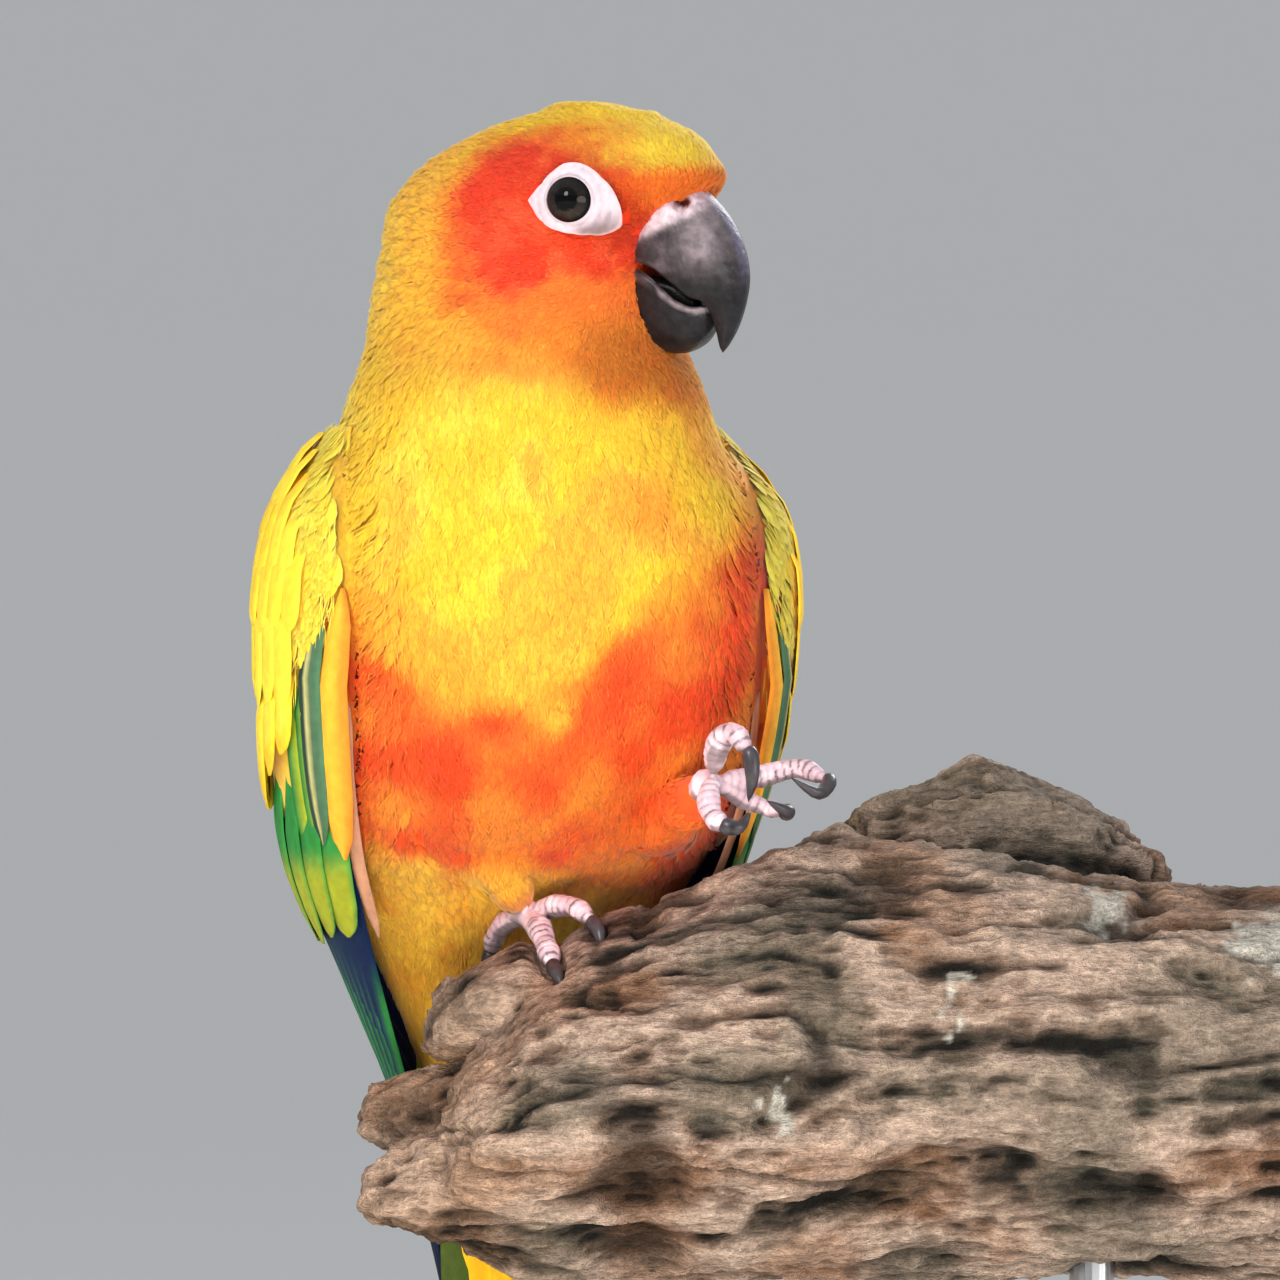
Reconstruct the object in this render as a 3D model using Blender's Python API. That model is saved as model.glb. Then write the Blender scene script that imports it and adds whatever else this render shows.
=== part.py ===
"""Sun conure, life size, perched on a cut length of weathered driftwood that a plain stand holds up.

All sizes in this script are in millimetres and are scaled to metres when an object is made.
The origin is the centre of the stand base's underside, +Z is up, and the bird looks towards -Y and +X.
"""

import math

import bmesh
import bpy
import numpy as np
from mathutils import Matrix, Vector, noise

METRES = 0.001
GAP = 0.35
FEATHER_THICKNESS = 0.6

BODY_YAW = 14.0
HEAD_YAW = 65.0
ROUNDNESS = 0.94
CROWN_HEIGHT = 262.8
BODY_LOW_END = 101.0
NECK_TOP = 228.0
NECK_BOTTOM = 214.0
TAIL_CUT = 125.0
BODY_SIDES = 32
HEAD_RINGS = 13
TORSO_RINGS = 23
HEAD_RING_FLOOR = 226.0

# Height, centre x, centre y, yaw, half width, depth to the front, depth to the back.
BODY_STATIONS = (
    (102.0, -17.0, 33.0, 14, 6.3, 3.2, 3.2),
    (114.0, -17.7, 31.5, 14, 8.8, 4.8, 4.5),
    (124.0, -18.3, 29.6, 14, 10.3, 6.4, 5.8),
    (132.0, -18.7, 27.6, 14, 11.8, 9.2, 8.2),
    (140.0, -18.8, 24.8, 14, 14.6, 11.2, 10.8),
    (150.0, -18.3, 21.2, 14, 19.8, 13.0, 15.0),
    (156.0, -17.7, 16.6, 14, 24.0, 15.8, 18.2),
    (162.0, -17.1, 12.0, 14, 27.2, 22.0, 20.6),
    (172.0, -16.2, 7.0, 14, 30.4, 28.0, 24.2),
    (186.0, -15.5, 3.0, 14, 32.2, 30.0, 26.4),
    (200.0, -15.1, 1.0, 14, 31.8, 29.4, 26.2),
    (210.0, -15.0, 0.0, 14, 29.4, 27.4, 24.8),
    (218.0, -15.0, -0.5, 17, 26.2, 25.0, 23.0),
    (225.0, -15.0, -1.0, 28, 23.8, 23.6, 22.2),
    (231.0, -14.8, -1.2, 46, 20.8, 21.0, 22.8),
    (237.0, -14.0, -1.7, 59, 18.8, 18.6, 22.8),
    (243.0, -13.0, -2.2, 64, 17.5, 18.4, 22.6),
    (249.3, -10.9, -2.9, 65, 16.4, 22.4, 23.6),
    (252.5, -9.6, -3.5, 65, 15.5, 23.0, 22.2),
    (256.5, -7.7, -4.4, 65, 13.0, 19.8, 19.0),
    (260.0, -5.6, -5.4, 65, 9.2, 13.8, 13.8),
    (262.0, -4.4, -6.0, 65, 5.2, 7.8, 8.0),
)

# Height, centre x, centre y, half width, depth to the front, depth to the back of the folded wings' outer face.
WING_STATIONS = (
    (78.0, -13.6, 39.5, 9.6, 6.2, 8.2),
    (90.0, -14.8, 37.0, 10.6, 6.8, 8.8),
    (106.0, -16.2, 34.0, 12.2, 8.0, 9.8),
    (120.0, -17.0, 30.5, 14.6, 10.5, 12.0),
    (132.0, -17.6, 26.0, 17.8, 14.0, 15.0),
    (140.0, -17.6, 22.0, 21.2, 17.5, 18.0),
    (150.0, -17.4, 17.2, 25.8, 22.5, 21.4),
    (160.0, -16.9, 11.8, 30.4, 27.4, 25.0),
    (172.0, -16.2, 7.0, 33.2, 30.6, 27.6),
    (186.0, -15.5, 3.0, 34.6, 31.8, 28.8),
    (200.0, -15.1, 1.0, 34.9, 31.6, 29.0),
    (208.0, -15.0, 0.2, 33.4, 30.2, 27.8),
    (215.0, -15.0, -0.3, 29.8, 27.8, 25.6),
    (221.0, -15.0, -0.6, 26.0, 25.2, 23.6),
)
WING_LEADING_EDGE = ((140, 84), (150, 66), (162, 58), (175, 55), (190, 55), (203, 60), (211, 68), (219, 84))
WING_TRAILING_EDGE = ((160, 166), (175, 158), (190, 146), (205, 130), (213, 118), (219, 104))
WING_SLAB = (165.4, 218.5)

TAIL_ROOT = Vector((-18.2, 29.6, 122.0))
TAIL_SLOPE = Vector((0.10, 0.17, -1.0))
TAIL_LENGTHS = (109.0, 101.0, 91.0, 80.0, 69.0, 59.0)
TAIL_LAYER = 0.95

EYE_FORWARD = 8.9
EYE_SIDEWAYS = 13.6
EYE_HEIGHT = 248.7
EYE_RADIUS = 3.6
EYE_RING = (6.9, 5.3, 1.7)

HEAD_AXIS = Vector((-13.5, -2.2, 0.0))

STAND_SIZE = (140.0, 92.0, 8.0)
STAND_CORNER = 12.0
ROD_RADIUS = 3.0
ROD_PLACES = ((2.0, -12.0), (60.0, -6.0))


def forward_of(yaw):
    """Horizontal unit vector that a yaw in degrees points along; 0 faces -Y."""
    turn = math.radians(yaw)
    return Vector((math.sin(turn), -math.cos(turn), 0.0))


def left_of(yaw):
    """The bird's left for that yaw."""
    turn = math.radians(yaw)
    return Vector((math.cos(turn), math.sin(turn), 0.0))


def curve_through(stations):
    """A function of the first column that runs smoothly through the other columns."""
    table = np.array(stations, float)
    heights, values = table[:, 0], table[:, 1:]
    slopes = np.gradient(values, heights, axis=0)

    def at(height):
        height = min(max(height, heights[0]), heights[-1])
        i = min(int(np.searchsorted(heights, height, side="right")) - 1, len(heights) - 2)
        span = heights[i + 1] - heights[i]
        t = (height - heights[i]) / span
        start, end = values[i], values[i + 1]
        rise_start, rise_end = slopes[i] * span, slopes[i + 1] * span
        cubic = 2 * start - 2 * end + rise_start + rise_end
        square = 3 * end - 3 * start - 2 * rise_start - rise_end
        return start + t * (rise_start + t * (square + t * cubic))

    return at


body_at = curve_through(BODY_STATIONS)
wing_at = curve_through(WING_STATIONS)


def section_point(centre, yaw, half_width, front, back, height, angle, outward):
    """A point of a horizontal section, angle 0 at the front and positive to the bird's left."""
    depth = front if math.cos(angle) > 0 else back
    ahead = math.copysign(abs(math.cos(angle)) ** ROUNDNESS, math.cos(angle))
    aside = math.copysign(abs(math.sin(angle)) ** ROUNDNESS, math.sin(angle))
    normal = Vector((math.cos(angle) / depth, math.sin(angle) / half_width)).normalized()
    along = ahead * depth + normal.x * outward
    across = aside * half_width + normal.y * outward
    place = centre + forward_of(yaw) * along + left_of(yaw) * across
    return Vector((place.x, place.y, height))


def near(place, centre, reach):
    """1 at the centre of a soft round patch, falling to 0 outside its reach."""
    return math.exp(-((place - centre).length / reach) ** 2)


def body_point(height, angle, outward=0.0):
    """A point of the feathered outline of head, neck and torso."""
    x, y, yaw, half_width, front, back = body_at(height)
    place = section_point(Vector((x, y, 0)), yaw, half_width, front, back, height, angle, outward)
    if height > HEAD_RING_FLOOR:
        middle = Vector((x, y, height))
        for side in (-1, 1):
            hollow = near(place, eye_centre(side), 7.0)
            brow = near(place, eye_centre(side) + Vector((0, 0, 7.5)), 5.0)
            place = place + (place - middle).normalized() * (0.7 * brow - 0.7 * hollow)
    return place


def wing_point(height, angle, outward=0.0):
    """A point of the folded wings' outer face."""
    x, y, half_width, front, back = wing_at(height)
    return section_point(Vector((x, y, 0)), BODY_YAW, half_width, front, back, height, angle, outward)


def wing_radius(height, angle):
    """Rough distance from the section's centre, to turn millimetres across into an angle."""
    _, _, half_width, front, back = wing_at(height)
    depth = front if math.cos(angle) > 0 else back
    return math.hypot(half_width * math.sin(angle), depth * math.cos(angle))


def eye_centre(side):
    """Centre of the eyeball on side -1, right, or 1, left."""
    x, y, yaw = body_at(EYE_HEIGHT)[:3]
    place = Vector((x, y, EYE_HEIGHT)) + forward_of(yaw) * EYE_FORWARD
    return place + left_of(yaw) * (side * EYE_SIDEWAYS)


def head_point(forward, left, height):
    """A point given in the head's own directions."""
    place = HEAD_AXIS + forward_of(HEAD_YAW) * forward + left_of(HEAD_YAW) * left
    return Vector((place.x, place.y, height))


def material(name, colour, roughness=0.7, metallic=0.0):
    made = bpy.data.materials.new(name)
    made.use_nodes = True
    shader = made.node_tree.nodes["Principled BSDF"]
    shader.inputs["Base Color"].default_value = (*colour, 1.0)
    shader.inputs["Roughness"].default_value = roughness
    shader.inputs["Metallic"].default_value = metallic
    made.diffuse_color = (*colour, 1.0)
    return made


def object_from(name, mesh_data, finish, smooth=True):
    """Turns a bmesh in millimetres into a named object in metres."""
    bmesh.ops.recalc_face_normals(mesh_data, faces=mesh_data.faces[:])
    if mesh_data.calc_volume(signed=True) < 0:
        bmesh.ops.reverse_faces(mesh_data, faces=mesh_data.faces[:])
    bmesh.ops.scale(mesh_data, vec=(METRES,) * 3, verts=mesh_data.verts[:])
    mesh = bpy.data.meshes.new(name)
    mesh_data.to_mesh(mesh)
    mesh_data.free()
    made = bpy.data.objects.new(name, mesh)
    bpy.context.scene.collection.objects.link(made)
    made.data.materials.append(finish)
    if smooth:
        mesh.shade_smooth()
        mesh.set_sharp_from_angle(angle=math.radians(40))
    return made


def combine(target, others, operation, solver="EXACT"):
    """Applies one Boolean of a whole collection of closed meshes to target and removes them."""
    group = bpy.data.collections.new(target.name + "_tools")
    bpy.context.scene.collection.children.link(group)
    for other in others:
        bpy.context.scene.collection.objects.unlink(other)
        group.objects.link(other)
    change = target.modifiers.new("combine", "BOOLEAN")
    change.operation = operation
    change.operand_type = "COLLECTION"
    change.collection = group
    change.solver = solver
    graph = bpy.context.evaluated_depsgraph_get()
    mesh = bpy.data.meshes.new_from_object(target.evaluated_get(graph), depsgraph=graph)
    target.modifiers.clear()
    target.data = mesh
    for other in others:
        bpy.data.objects.remove(other)
    bpy.data.collections.remove(group)
    keep_largest(target)
    return target


def keep_largest(target):
    """Leaves only the largest closed surface of an object."""
    mesh_data = bmesh.new()
    mesh_data.from_mesh(target.data)
    left, shells = set(mesh_data.faces), []
    while left:
        shell, edge_of_shell = set(), [left.pop()]
        while edge_of_shell:
            face = edge_of_shell.pop()
            shell.add(face)
            for edge in face.edges:
                for neighbour in edge.link_faces:
                    if neighbour in left:
                        left.discard(neighbour)
                        edge_of_shell.append(neighbour)
        shells.append(shell)
    shells.sort(key=lambda shell: sum(face.calc_area() for face in shell))
    loose = [face for shell in shells[:-1] for face in shell]
    bmesh.ops.delete(mesh_data, geom=loose, context="FACES")
    mesh_data.to_mesh(target.data)
    mesh_data.free()


def ball(sides, rings):
    """A sphere whose vertices the caller moves, with each vertex's ring number and angle."""
    mesh_data = bmesh.new()
    bmesh.ops.create_uvsphere(mesh_data, u_segments=sides, v_segments=rings, radius=1.0)
    places = []
    for vertex in mesh_data.verts:
        ring = round(math.acos(max(-1.0, min(1.0, vertex.co.z))) / math.pi * rings)
        places.append((vertex, ring, math.atan2(vertex.co.y, vertex.co.x)))
    return mesh_data, places


def sweep(path, sizes, sides=8, upright=Vector((0, 0, 1))):
    """A closed tapering tube along a path; sizes are (half width, half height) at each inner point."""
    points = [Vector(p) for p in path]
    mesh_data, places = ball(sides, len(points) - 1)
    frames = []
    up = upright
    for i in range(len(points)):
        ahead = (points[min(i + 1, len(points) - 1)] - points[max(i - 1, 0)]).normalized()
        aside = ahead.cross(up).normalized()
        up = aside.cross(ahead).normalized()
        frames.append((aside, up))
    for vertex, ring, angle in places:
        aside, up = frames[ring]
        width, rise = (0, 0) if ring in (0, len(points) - 1) else sizes[ring - 1]
        vertex.co = points[ring] + aside * (width * math.cos(angle)) + up * (rise * math.sin(angle))
    return mesh_data


def sheet(columns, rows, place):
    """A thin closed solid over a grid. place(across, along, top) gives each point, with across from -1
    to 1 and along from 0 to 1; both faces are split into the same triangles."""
    mesh_data = bmesh.new()
    bmesh.ops.create_grid(mesh_data, x_segments=columns, y_segments=rows, size=1.0)
    bmesh.ops.triangulate(mesh_data, faces=mesh_data.faces[:])
    made = bmesh.ops.extrude_face_region(mesh_data, geom=mesh_data.faces[:])
    top = {item for item in made["geom"] if isinstance(item, bmesh.types.BMVert)}
    targets = [(v, place(v.co.x, (v.co.y + 1) / 2, v in top)) for v in mesh_data.verts]
    for vertex, target in targets:
        vertex.co = target
    return mesh_data


def smooth_step(value):
    value = min(max(value, 0.0), 1.0)
    return value * value * (3 - 2 * value)


def blend(pairs, value):
    """Straight-line reading of a short list of (place, value) pairs."""
    return float(np.interp(value, [p[0] for p in pairs], [p[1] for p in pairs]))


VANE_OUTLINE = ((0.0, 0.62), (0.3, 0.95), (0.62, 1.0), (0.84, 0.84), (1.0, 0.3))
VANE_ROWS = ((0.0, 0.0), (0.25, 0.34), (0.5, 0.66), (0.75, 0.88), (1.0, 1.0))


def wing_vane(side, root, tip, width, height_root, height_mid, height_tip, tilt, rows=4):
    """One flight feather or covert on the wing face. root and tip are (height, angle in degrees); the
    three heights are distances off the wing face, and tilt lifts the leading edge."""

    def place(across, along, top):
        run = blend(VANE_ROWS, along)
        height = root[0] + (tip[0] - root[0]) * run
        angle = math.radians(root[1] + (tip[1] - root[1]) * run)
        reach = across * width / 2 * blend(VANE_OUTLINE, run)
        angle += reach / wing_radius(height, angle)
        lift = blend(((0, height_root), (0.35, height_mid), (1, height_tip)), run)
        lift -= reach * tilt
        lift += 0.25 * (1 - across * across)
        lift += FEATHER_THICKNESS / 2 if top else -FEATHER_THICKNESS / 2
        return wing_point(height, side * angle, lift)

    return sheet(2, rows, place)


def make_body(finishes):
    """Head, neck and torso in one skin, parted by thin cuts, and the root of the tail."""
    rings = HEAD_RINGS + TORSO_RINGS
    heights = list(np.linspace(CROWN_HEIGHT, HEAD_RING_FLOOR, HEAD_RINGS + 1))
    heights[1] = CROWN_HEIGHT - 0.9
    heights += list(np.linspace(HEAD_RING_FLOOR, BODY_LOW_END, TORSO_RINGS + 1))[1:]
    parts = {}
    cuts = {
        "head": (NECK_TOP, None),
        "neck": (NECK_BOTTOM, NECK_TOP),
        "torso": (TAIL_CUT, NECK_BOTTOM),
        "tail_root": (None, TAIL_CUT),
    }
    for name, (low, high) in cuts.items():
        mesh_data, places = ball(BODY_SIDES, rings)
        for vertex, ring, angle in places:
            pole = ring in (0, rings)
            height = heights[ring]
            x, y = body_at(height)[:2]
            vertex.co = Vector((x, y, height)) if pole else body_point(height, angle)
        if low is not None:
            cut_flat(mesh_data, low + GAP / 2, -1)
        if high is not None:
            cut_flat(mesh_data, high - GAP / 2, 1)
        parts[name] = object_from(name, mesh_data, finishes[name])
    return parts


def cut_flat(mesh_data, height, side):
    """Cuts away what lies above (side 1) or below (side -1) a height and closes the cut."""
    geometry = mesh_data.verts[:] + mesh_data.edges[:] + mesh_data.faces[:]
    bmesh.ops.bisect_plane(
        mesh_data, geom=geometry, plane_co=(0, 0, height), plane_no=(0, 0, side), clear_outer=True
    )
    rim = [edge for edge in mesh_data.edges if len(edge.link_faces) == 1]
    bmesh.ops.holes_fill(mesh_data, edges=rim, sides=0)


def lens(side, swell, rings=6, sides=16):
    """The bare, slightly domed patch of skin round an eye, swollen to make its socket."""
    mesh_data, places = ball(sides, rings)
    yaw = body_at(EYE_HEIGHT)[2]
    outward = (left_of(yaw) * side + forward_of(yaw) * 0.42 + Vector((0, 0, 0.03))).normalized()
    ahead = (forward_of(yaw) - outward * forward_of(yaw).dot(outward)).normalized()
    up = Vector((0, 0, 1))
    centre = eye_centre(side) + outward * 1.55 + ahead * 0.5
    for vertex, ring, angle in places:
        co = vertex.co.copy()
        length = EYE_RING[0] * (1.0 if co.x > 0 else 0.9) + swell
        vertex.co = centre + ahead * (co.x * length) + up * (co.y * (EYE_RING[1] + swell))
        vertex.co += outward * (co.z * (EYE_RING[2] + swell))
    return mesh_data


def sphere(centre, radius, sides=14, rings=8):
    mesh_data = bmesh.new()
    bmesh.ops.create_uvsphere(mesh_data, u_segments=sides, v_segments=rings, radius=radius)
    bmesh.ops.translate(mesh_data, vec=centre, verts=mesh_data.verts[:])
    return mesh_data


def make_eyes(head, finishes):
    """Eyeballs and the bare lids round them, set in sockets of the head."""
    sockets = []
    for side, name in ((-1, "right"), (1, "left")):
        object_from(f"eye_{name}", sphere(eye_centre(side), EYE_RADIUS), finishes["eye"])
        ring = object_from(f"eye_ring_{name}", lens(side, 0.0), finishes["skin"])
        hole = object_from("eye_hole", sphere(eye_centre(side), EYE_RADIUS + GAP), finishes["eye"])
        combine(ring, [hole], "DIFFERENCE")
        sockets.append(object_from("socket", lens(side, GAP), finishes["eye"]))
        sockets.append(object_from("socket", sphere(eye_centre(side), EYE_RADIUS + GAP), finishes["eye"]))
    combine(head, sockets, "DIFFERENCE")


# Forward and height of the culmen and of the cutting edge below it, and the half width there.
UPPER_BILL = (
    (17.0, 251.5, 15.6, 241.0, 5.4),
    (20.4, 251.6, 17.2, 240.6, 6.3),
    (24.0, 250.2, 19.3, 239.8, 6.4),
    (27.4, 247.3, 21.6, 237.9, 6.0),
    (29.6, 243.4, 23.8, 236.0, 5.2),
    (30.5, 239.4, 25.5, 235.4, 4.2),
    (30.2, 235.6, 26.3, 233.9, 3.0),
    (29.2, 232.2, 26.7, 231.5, 1.8),
    (27.9, 229.8, 26.8, 229.6, 0.8),
)
UPPER_BILL_TIP = (27.0, 228.7)

# Forward and height of the middle line, half width and half height of the lower mandible.
LOWER_BILL = (
    (14.6, 233.6, 4.6, 4.4),
    (17.6, 233.2, 5.3, 5.0),
    (20.4, 233.0, 5.0, 4.8),
    (22.9, 233.3, 3.9, 3.7),
)


def upper_bill(swell=0.0, sides=14):
    """Upper mandible: sections between the culmen and the cutting edge, flattened below."""
    mesh_data, places = ball(sides, len(UPPER_BILL) + 1)
    start, end = UPPER_BILL[0], UPPER_BILL_TIP
    for vertex, ring, angle in places:
        if ring == 0:
            vertex.co = head_point((start[0] + start[2]) / 2 - 1.0 - swell, 0, (start[1] + start[3]) / 2)
            continue
        if ring == len(UPPER_BILL) + 1:
            vertex.co = head_point(end[0], 0, end[1] - swell)
            continue
        top_u, top_z, low_u, low_z, width = UPPER_BILL[ring - 1]
        rise = math.sin(angle)
        middle = Vector(((top_u + low_u) / 2, (top_z + low_z) / 2))
        reach = Vector(((top_u - low_u) / 2, (top_z - low_z) / 2))
        reach = reach * (1 + swell / reach.length)
        spot = middle + reach * (rise if rise > 0 else -abs(rise) ** 0.6)
        narrow = 1 - 0.22 * max(0.0, rise) ** 2
        vertex.co = head_point(spot.x, (width + swell) * math.cos(angle) * narrow, spot.y)
    return mesh_data


def lower_bill(swell=0.0, sides=14):
    """Lower mandible: a short rounded scoop below the cutting edge."""
    mesh_data, places = ball(sides, len(LOWER_BILL) + 1)
    for vertex, ring, angle in places:
        if ring == 0:
            vertex.co = head_point(13.0 - swell, 0, 233.8)
            continue
        if ring == len(LOWER_BILL) + 1:
            vertex.co = head_point(24.0 + swell, 0, 234.6)
            continue
        spot_u, spot_z, width, rise = LOWER_BILL[ring - 1]
        lift = (rise + swell) * math.sin(angle)
        vertex.co = head_point(spot_u, (width + swell) * math.cos(angle), spot_z + lift)
    return mesh_data


def make_bill(head, finishes):
    """Both mandibles, with the cere's nostrils, set against the face with a thin gap all round."""
    upper = object_from("bill_upper", upper_bill(), finishes["bill"])
    lower = object_from("bill_lower", lower_bill(), finishes["bill"])
    cere = [object_from("cere", cere_roll(), finishes["bill"])]
    combine(upper, cere, "UNION")
    nostrils = []
    for side in (-1, 1):
        spot = head_point(22.3, side * 5.4, 249.2)
        nostrils.append(object_from("nostril", sphere(spot, 1.0, 8, 6), finishes["bill"]))
    combine(upper, nostrils, "DIFFERENCE")
    mouth = object_from("mouth", upper_bill(0.5), finishes["bill"])
    combine(lower, [mouth], "DIFFERENCE")
    sockets = [object_from("socket", upper_bill(GAP), finishes["bill"])]
    sockets.append(object_from("socket", lower_bill(GAP), finishes["bill"]))
    sockets.append(object_from("socket", cere_roll(GAP), finishes["bill"]))
    combine(head, sockets, "DIFFERENCE")


def cere_roll(swell=0.0):
    """The fleshy band over the root of the upper mandible: a bowed roll from side to side."""
    path, sizes = [], []
    for step in range(9):
        turn = math.radians(-104 + 26 * step)
        path.append(head_point(20.9, 5.5 * math.sin(turn), 246.6 + 3.9 * math.cos(turn)))
        sizes.append((2.5 + swell, 1.9 + swell))
    return sweep(path, sizes[1:-1], 8, forward_of(HEAD_YAW))


def slab_edges(height, share):
    """Angle of a point a share of the way from the wing's leading to its trailing edge."""
    lead = blend(WING_LEADING_EDGE, height)
    trail = blend(WING_TRAILING_EDGE, height)
    return math.radians(lead + (trail - lead) * share)


def wing_slab(side):
    """The folded arm and its small coverts: a shell over the side of the torso, thin at its rims."""
    low, high = WING_SLAB

    def place(across, along, top):
        height = low + (high - low) * along
        angle = side * slab_edges(height, (across + 1) / 2)
        inner = body_point(height, angle, GAP + 0.3)
        outer = wing_point(height, angle)
        middle = Vector((*body_at(height)[:2], height))
        rim = smooth_step((1 - abs(across)) / 0.3) * smooth_step((1 - along) / 0.2)
        least = inner + (inner - middle).normalized() * 0.8
        if (outer - middle).length < (least - middle).length:
            outer = least
        return least.lerp(outer, 0.25 + 0.75 * rim) if top else inner

    return sheet(8, 7, place)


def wing_feathers(side):
    """Every large vane of one wing, in tiers from the innermost out."""
    made = []
    primary_tips = (86, 89, 97, 107, 117, 127)
    for k, tip in enumerate(primary_tips):
        root = (171.0, 62 + 8.5 * k)
        end = (tip, 122 + 9.5 * k)
        lift = -2.6 + 0.5 * k
        made.append(wing_vane(side, root, end, 8.6, -1.4, -1.8 + 0.05 * k, lift + 1.4, 0.137, 5))
    for k in range(6):
        root = (172.0 + 0.6 * k, 64 + 16.4 * k)
        end = (143.0 + 2.0 * k - (3 if k == 0 else 0), 70 + 17.6 * k)
        made.append(wing_vane(side, root, end, 13.0, -1.1, -0.4, -0.1, 0.15, 4))
    for k in range(7):
        root = (187.3, 62 + 13.6 * k)
        end = (162.5 + 1.0 * k, 63 + 15.2 * k)
        made.append(wing_vane(side, root, end, 11.0, -0.8, 0.6, 0.9, 0.15, 3))
    for k in range(7):
        root = (199.6, 66 + 11.2 * k)
        end = (181.5 + 0.6 * k, 62 + 13.4 * k)
        made.append(wing_vane(side, root, end, 10.4, -0.8, 1.1, 1.5, 0.15, 3))
    for k in range(2):
        root = (190.0, 58.5 + 4.5 * k)
        end = (160.5 + 3.0 * k, 56.5 + 6.5 * k)
        made.append(wing_vane(side, root, end, 5.2, -0.9, 0.5, -0.6, 0.1, 4))
    return made


def make_wings(finishes):
    for side, name in ((-1, "right"), (1, "left")):
        wing = object_from(f"wing_{name}", wing_slab(side), finishes["wing"])
        vanes = [object_from("vane", vane, finishes["wing"]) for vane in wing_feathers(side)]
        combine(wing, vanes, "UNION", "MANIFOLD")


def tail_frame():
    """Along the tail, across it to the bird's left, and out of its upper face."""
    along = TAIL_SLOPE.normalized()
    across = left_of(BODY_YAW)
    across = (across - along * across.dot(along)).normalized()
    return along, across, across.cross(along).normalized()


def tail_vane(start, length, offset_root, offset_tip, width, layer, tilt, rows=4):
    """One tail feather; its offsets are across the tail at root and tip."""
    along_axis, across_axis, out_axis = tail_frame()

    def place(across, along, top):
        run = blend(VANE_ROWS, along)
        reach = across * width / 2 * blend(VANE_OUTLINE, run)
        middle = offset_root + (offset_tip - offset_root) * run
        spread = smooth_step(run / 0.16)
        out = layer * (0.45 + 0.55 * spread) - abs(tilt) * reach * math.copysign(1, tilt)
        out += 0.2 * (1 - across * across)
        out += FEATHER_THICKNESS / 2 if top else -FEATHER_THICKNESS / 2
        place_along = start + length * run
        return TAIL_ROOT + along_axis * place_along + across_axis * (middle + reach) + out_axis * out

    return sheet(2, rows, place)


def make_tail(root_part, finishes):
    """Twelve long, graduated tail feathers with their coverts, rooted in the end of the body."""
    root_part.name = "tail"
    vanes = [
        tail_vane(2.0, TAIL_LENGTHS[0], 1.0, 1.2, 11.5, 2.9, 0.0),
        tail_vane(2.0, TAIL_LENGTHS[0] - 1.5, -1.0, -1.6, 11.5, 2.9 - TAIL_LAYER, 0.0),
    ]
    for pair in range(1, 6):
        for side in (-1, 1):
            layer = 2.9 - TAIL_LAYER * (1 + pair)
            root = side * (4.6 + 0.55 * pair)
            tip = side * (4.9 + 0.5 * pair)
            vanes.append(tail_vane(2.0, TAIL_LENGTHS[pair], root, tip, 8.6, layer, 0.0))
    for step in range(4):
        side = (-1, 1)[step % 2]
        high = 4.1 + 0.95 * (step // 2) + 0.1 * (step % 2)
        shift = side * (5.4 - 2.6 * (step // 2))
        vanes.append(tail_vane(0.5, 33.0 - 7 * (step // 2), shift, shift * 0.9, 6.0, high, 0.0, 2))
        vanes.append(tail_vane(0.5, 36.0 - 8 * (step // 2), shift, shift * 0.9, 6.0, 1.2 - high, 0.0, 2))
    tools = [object_from("vane", vane, finishes["tail"]) for vane in vanes]
    combine(root_part, tools, "UNION", "MANIFOLD")


# Each toe is a path of its middle line; the claw goes on from its end.
FOOT_RIGHT = {
    "root": ((-16.9, -4.2, 158.0), (-16.3, -3.2, 156.0), (-15.4, -0.8, 153.8)),
    "toes": (
        ((-15.4, -0.2, 153.6), (-13.5, -7.2, 152.6), (-12.3, -12.4, 149.9), (-11.4, -16.4, 147.4)),
        ((-15.2, -0.4, 153.8), (-11.7, -4.6, 155.2), (-8.5, -8.4, 155.2), (-6.1, -11.6, 153.0)),
        ((-15.6, -0.8, 153.6), (-17.7, 2.2, 153.2), (-19.3, 4.4, 151.2), (-20.2, 5.4, 148.2)),
        ((-15.2, -0.8, 153.6), (-13.6, 1.9, 153.4), (-12.7, 3.8, 151.8), (-12.4, 4.7, 149.4)),
    ),
    "claws": (
        ((-10.8, -18.6, 146.3), (-9.5, -21.4, 142.2)),
        ((-5.3, -13.4, 151.6), (-5.1, -14.6, 148.2)),
        ((-20.4, 5.4, 145.8), (-20.2, 4.4, 143.0)),
        ((-12.4, 4.7, 147.2), (-12.6, 3.8, 144.8)),
    ),
    "toe_radii": (1.9, 1.8, 1.7, 1.5),
}
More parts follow.
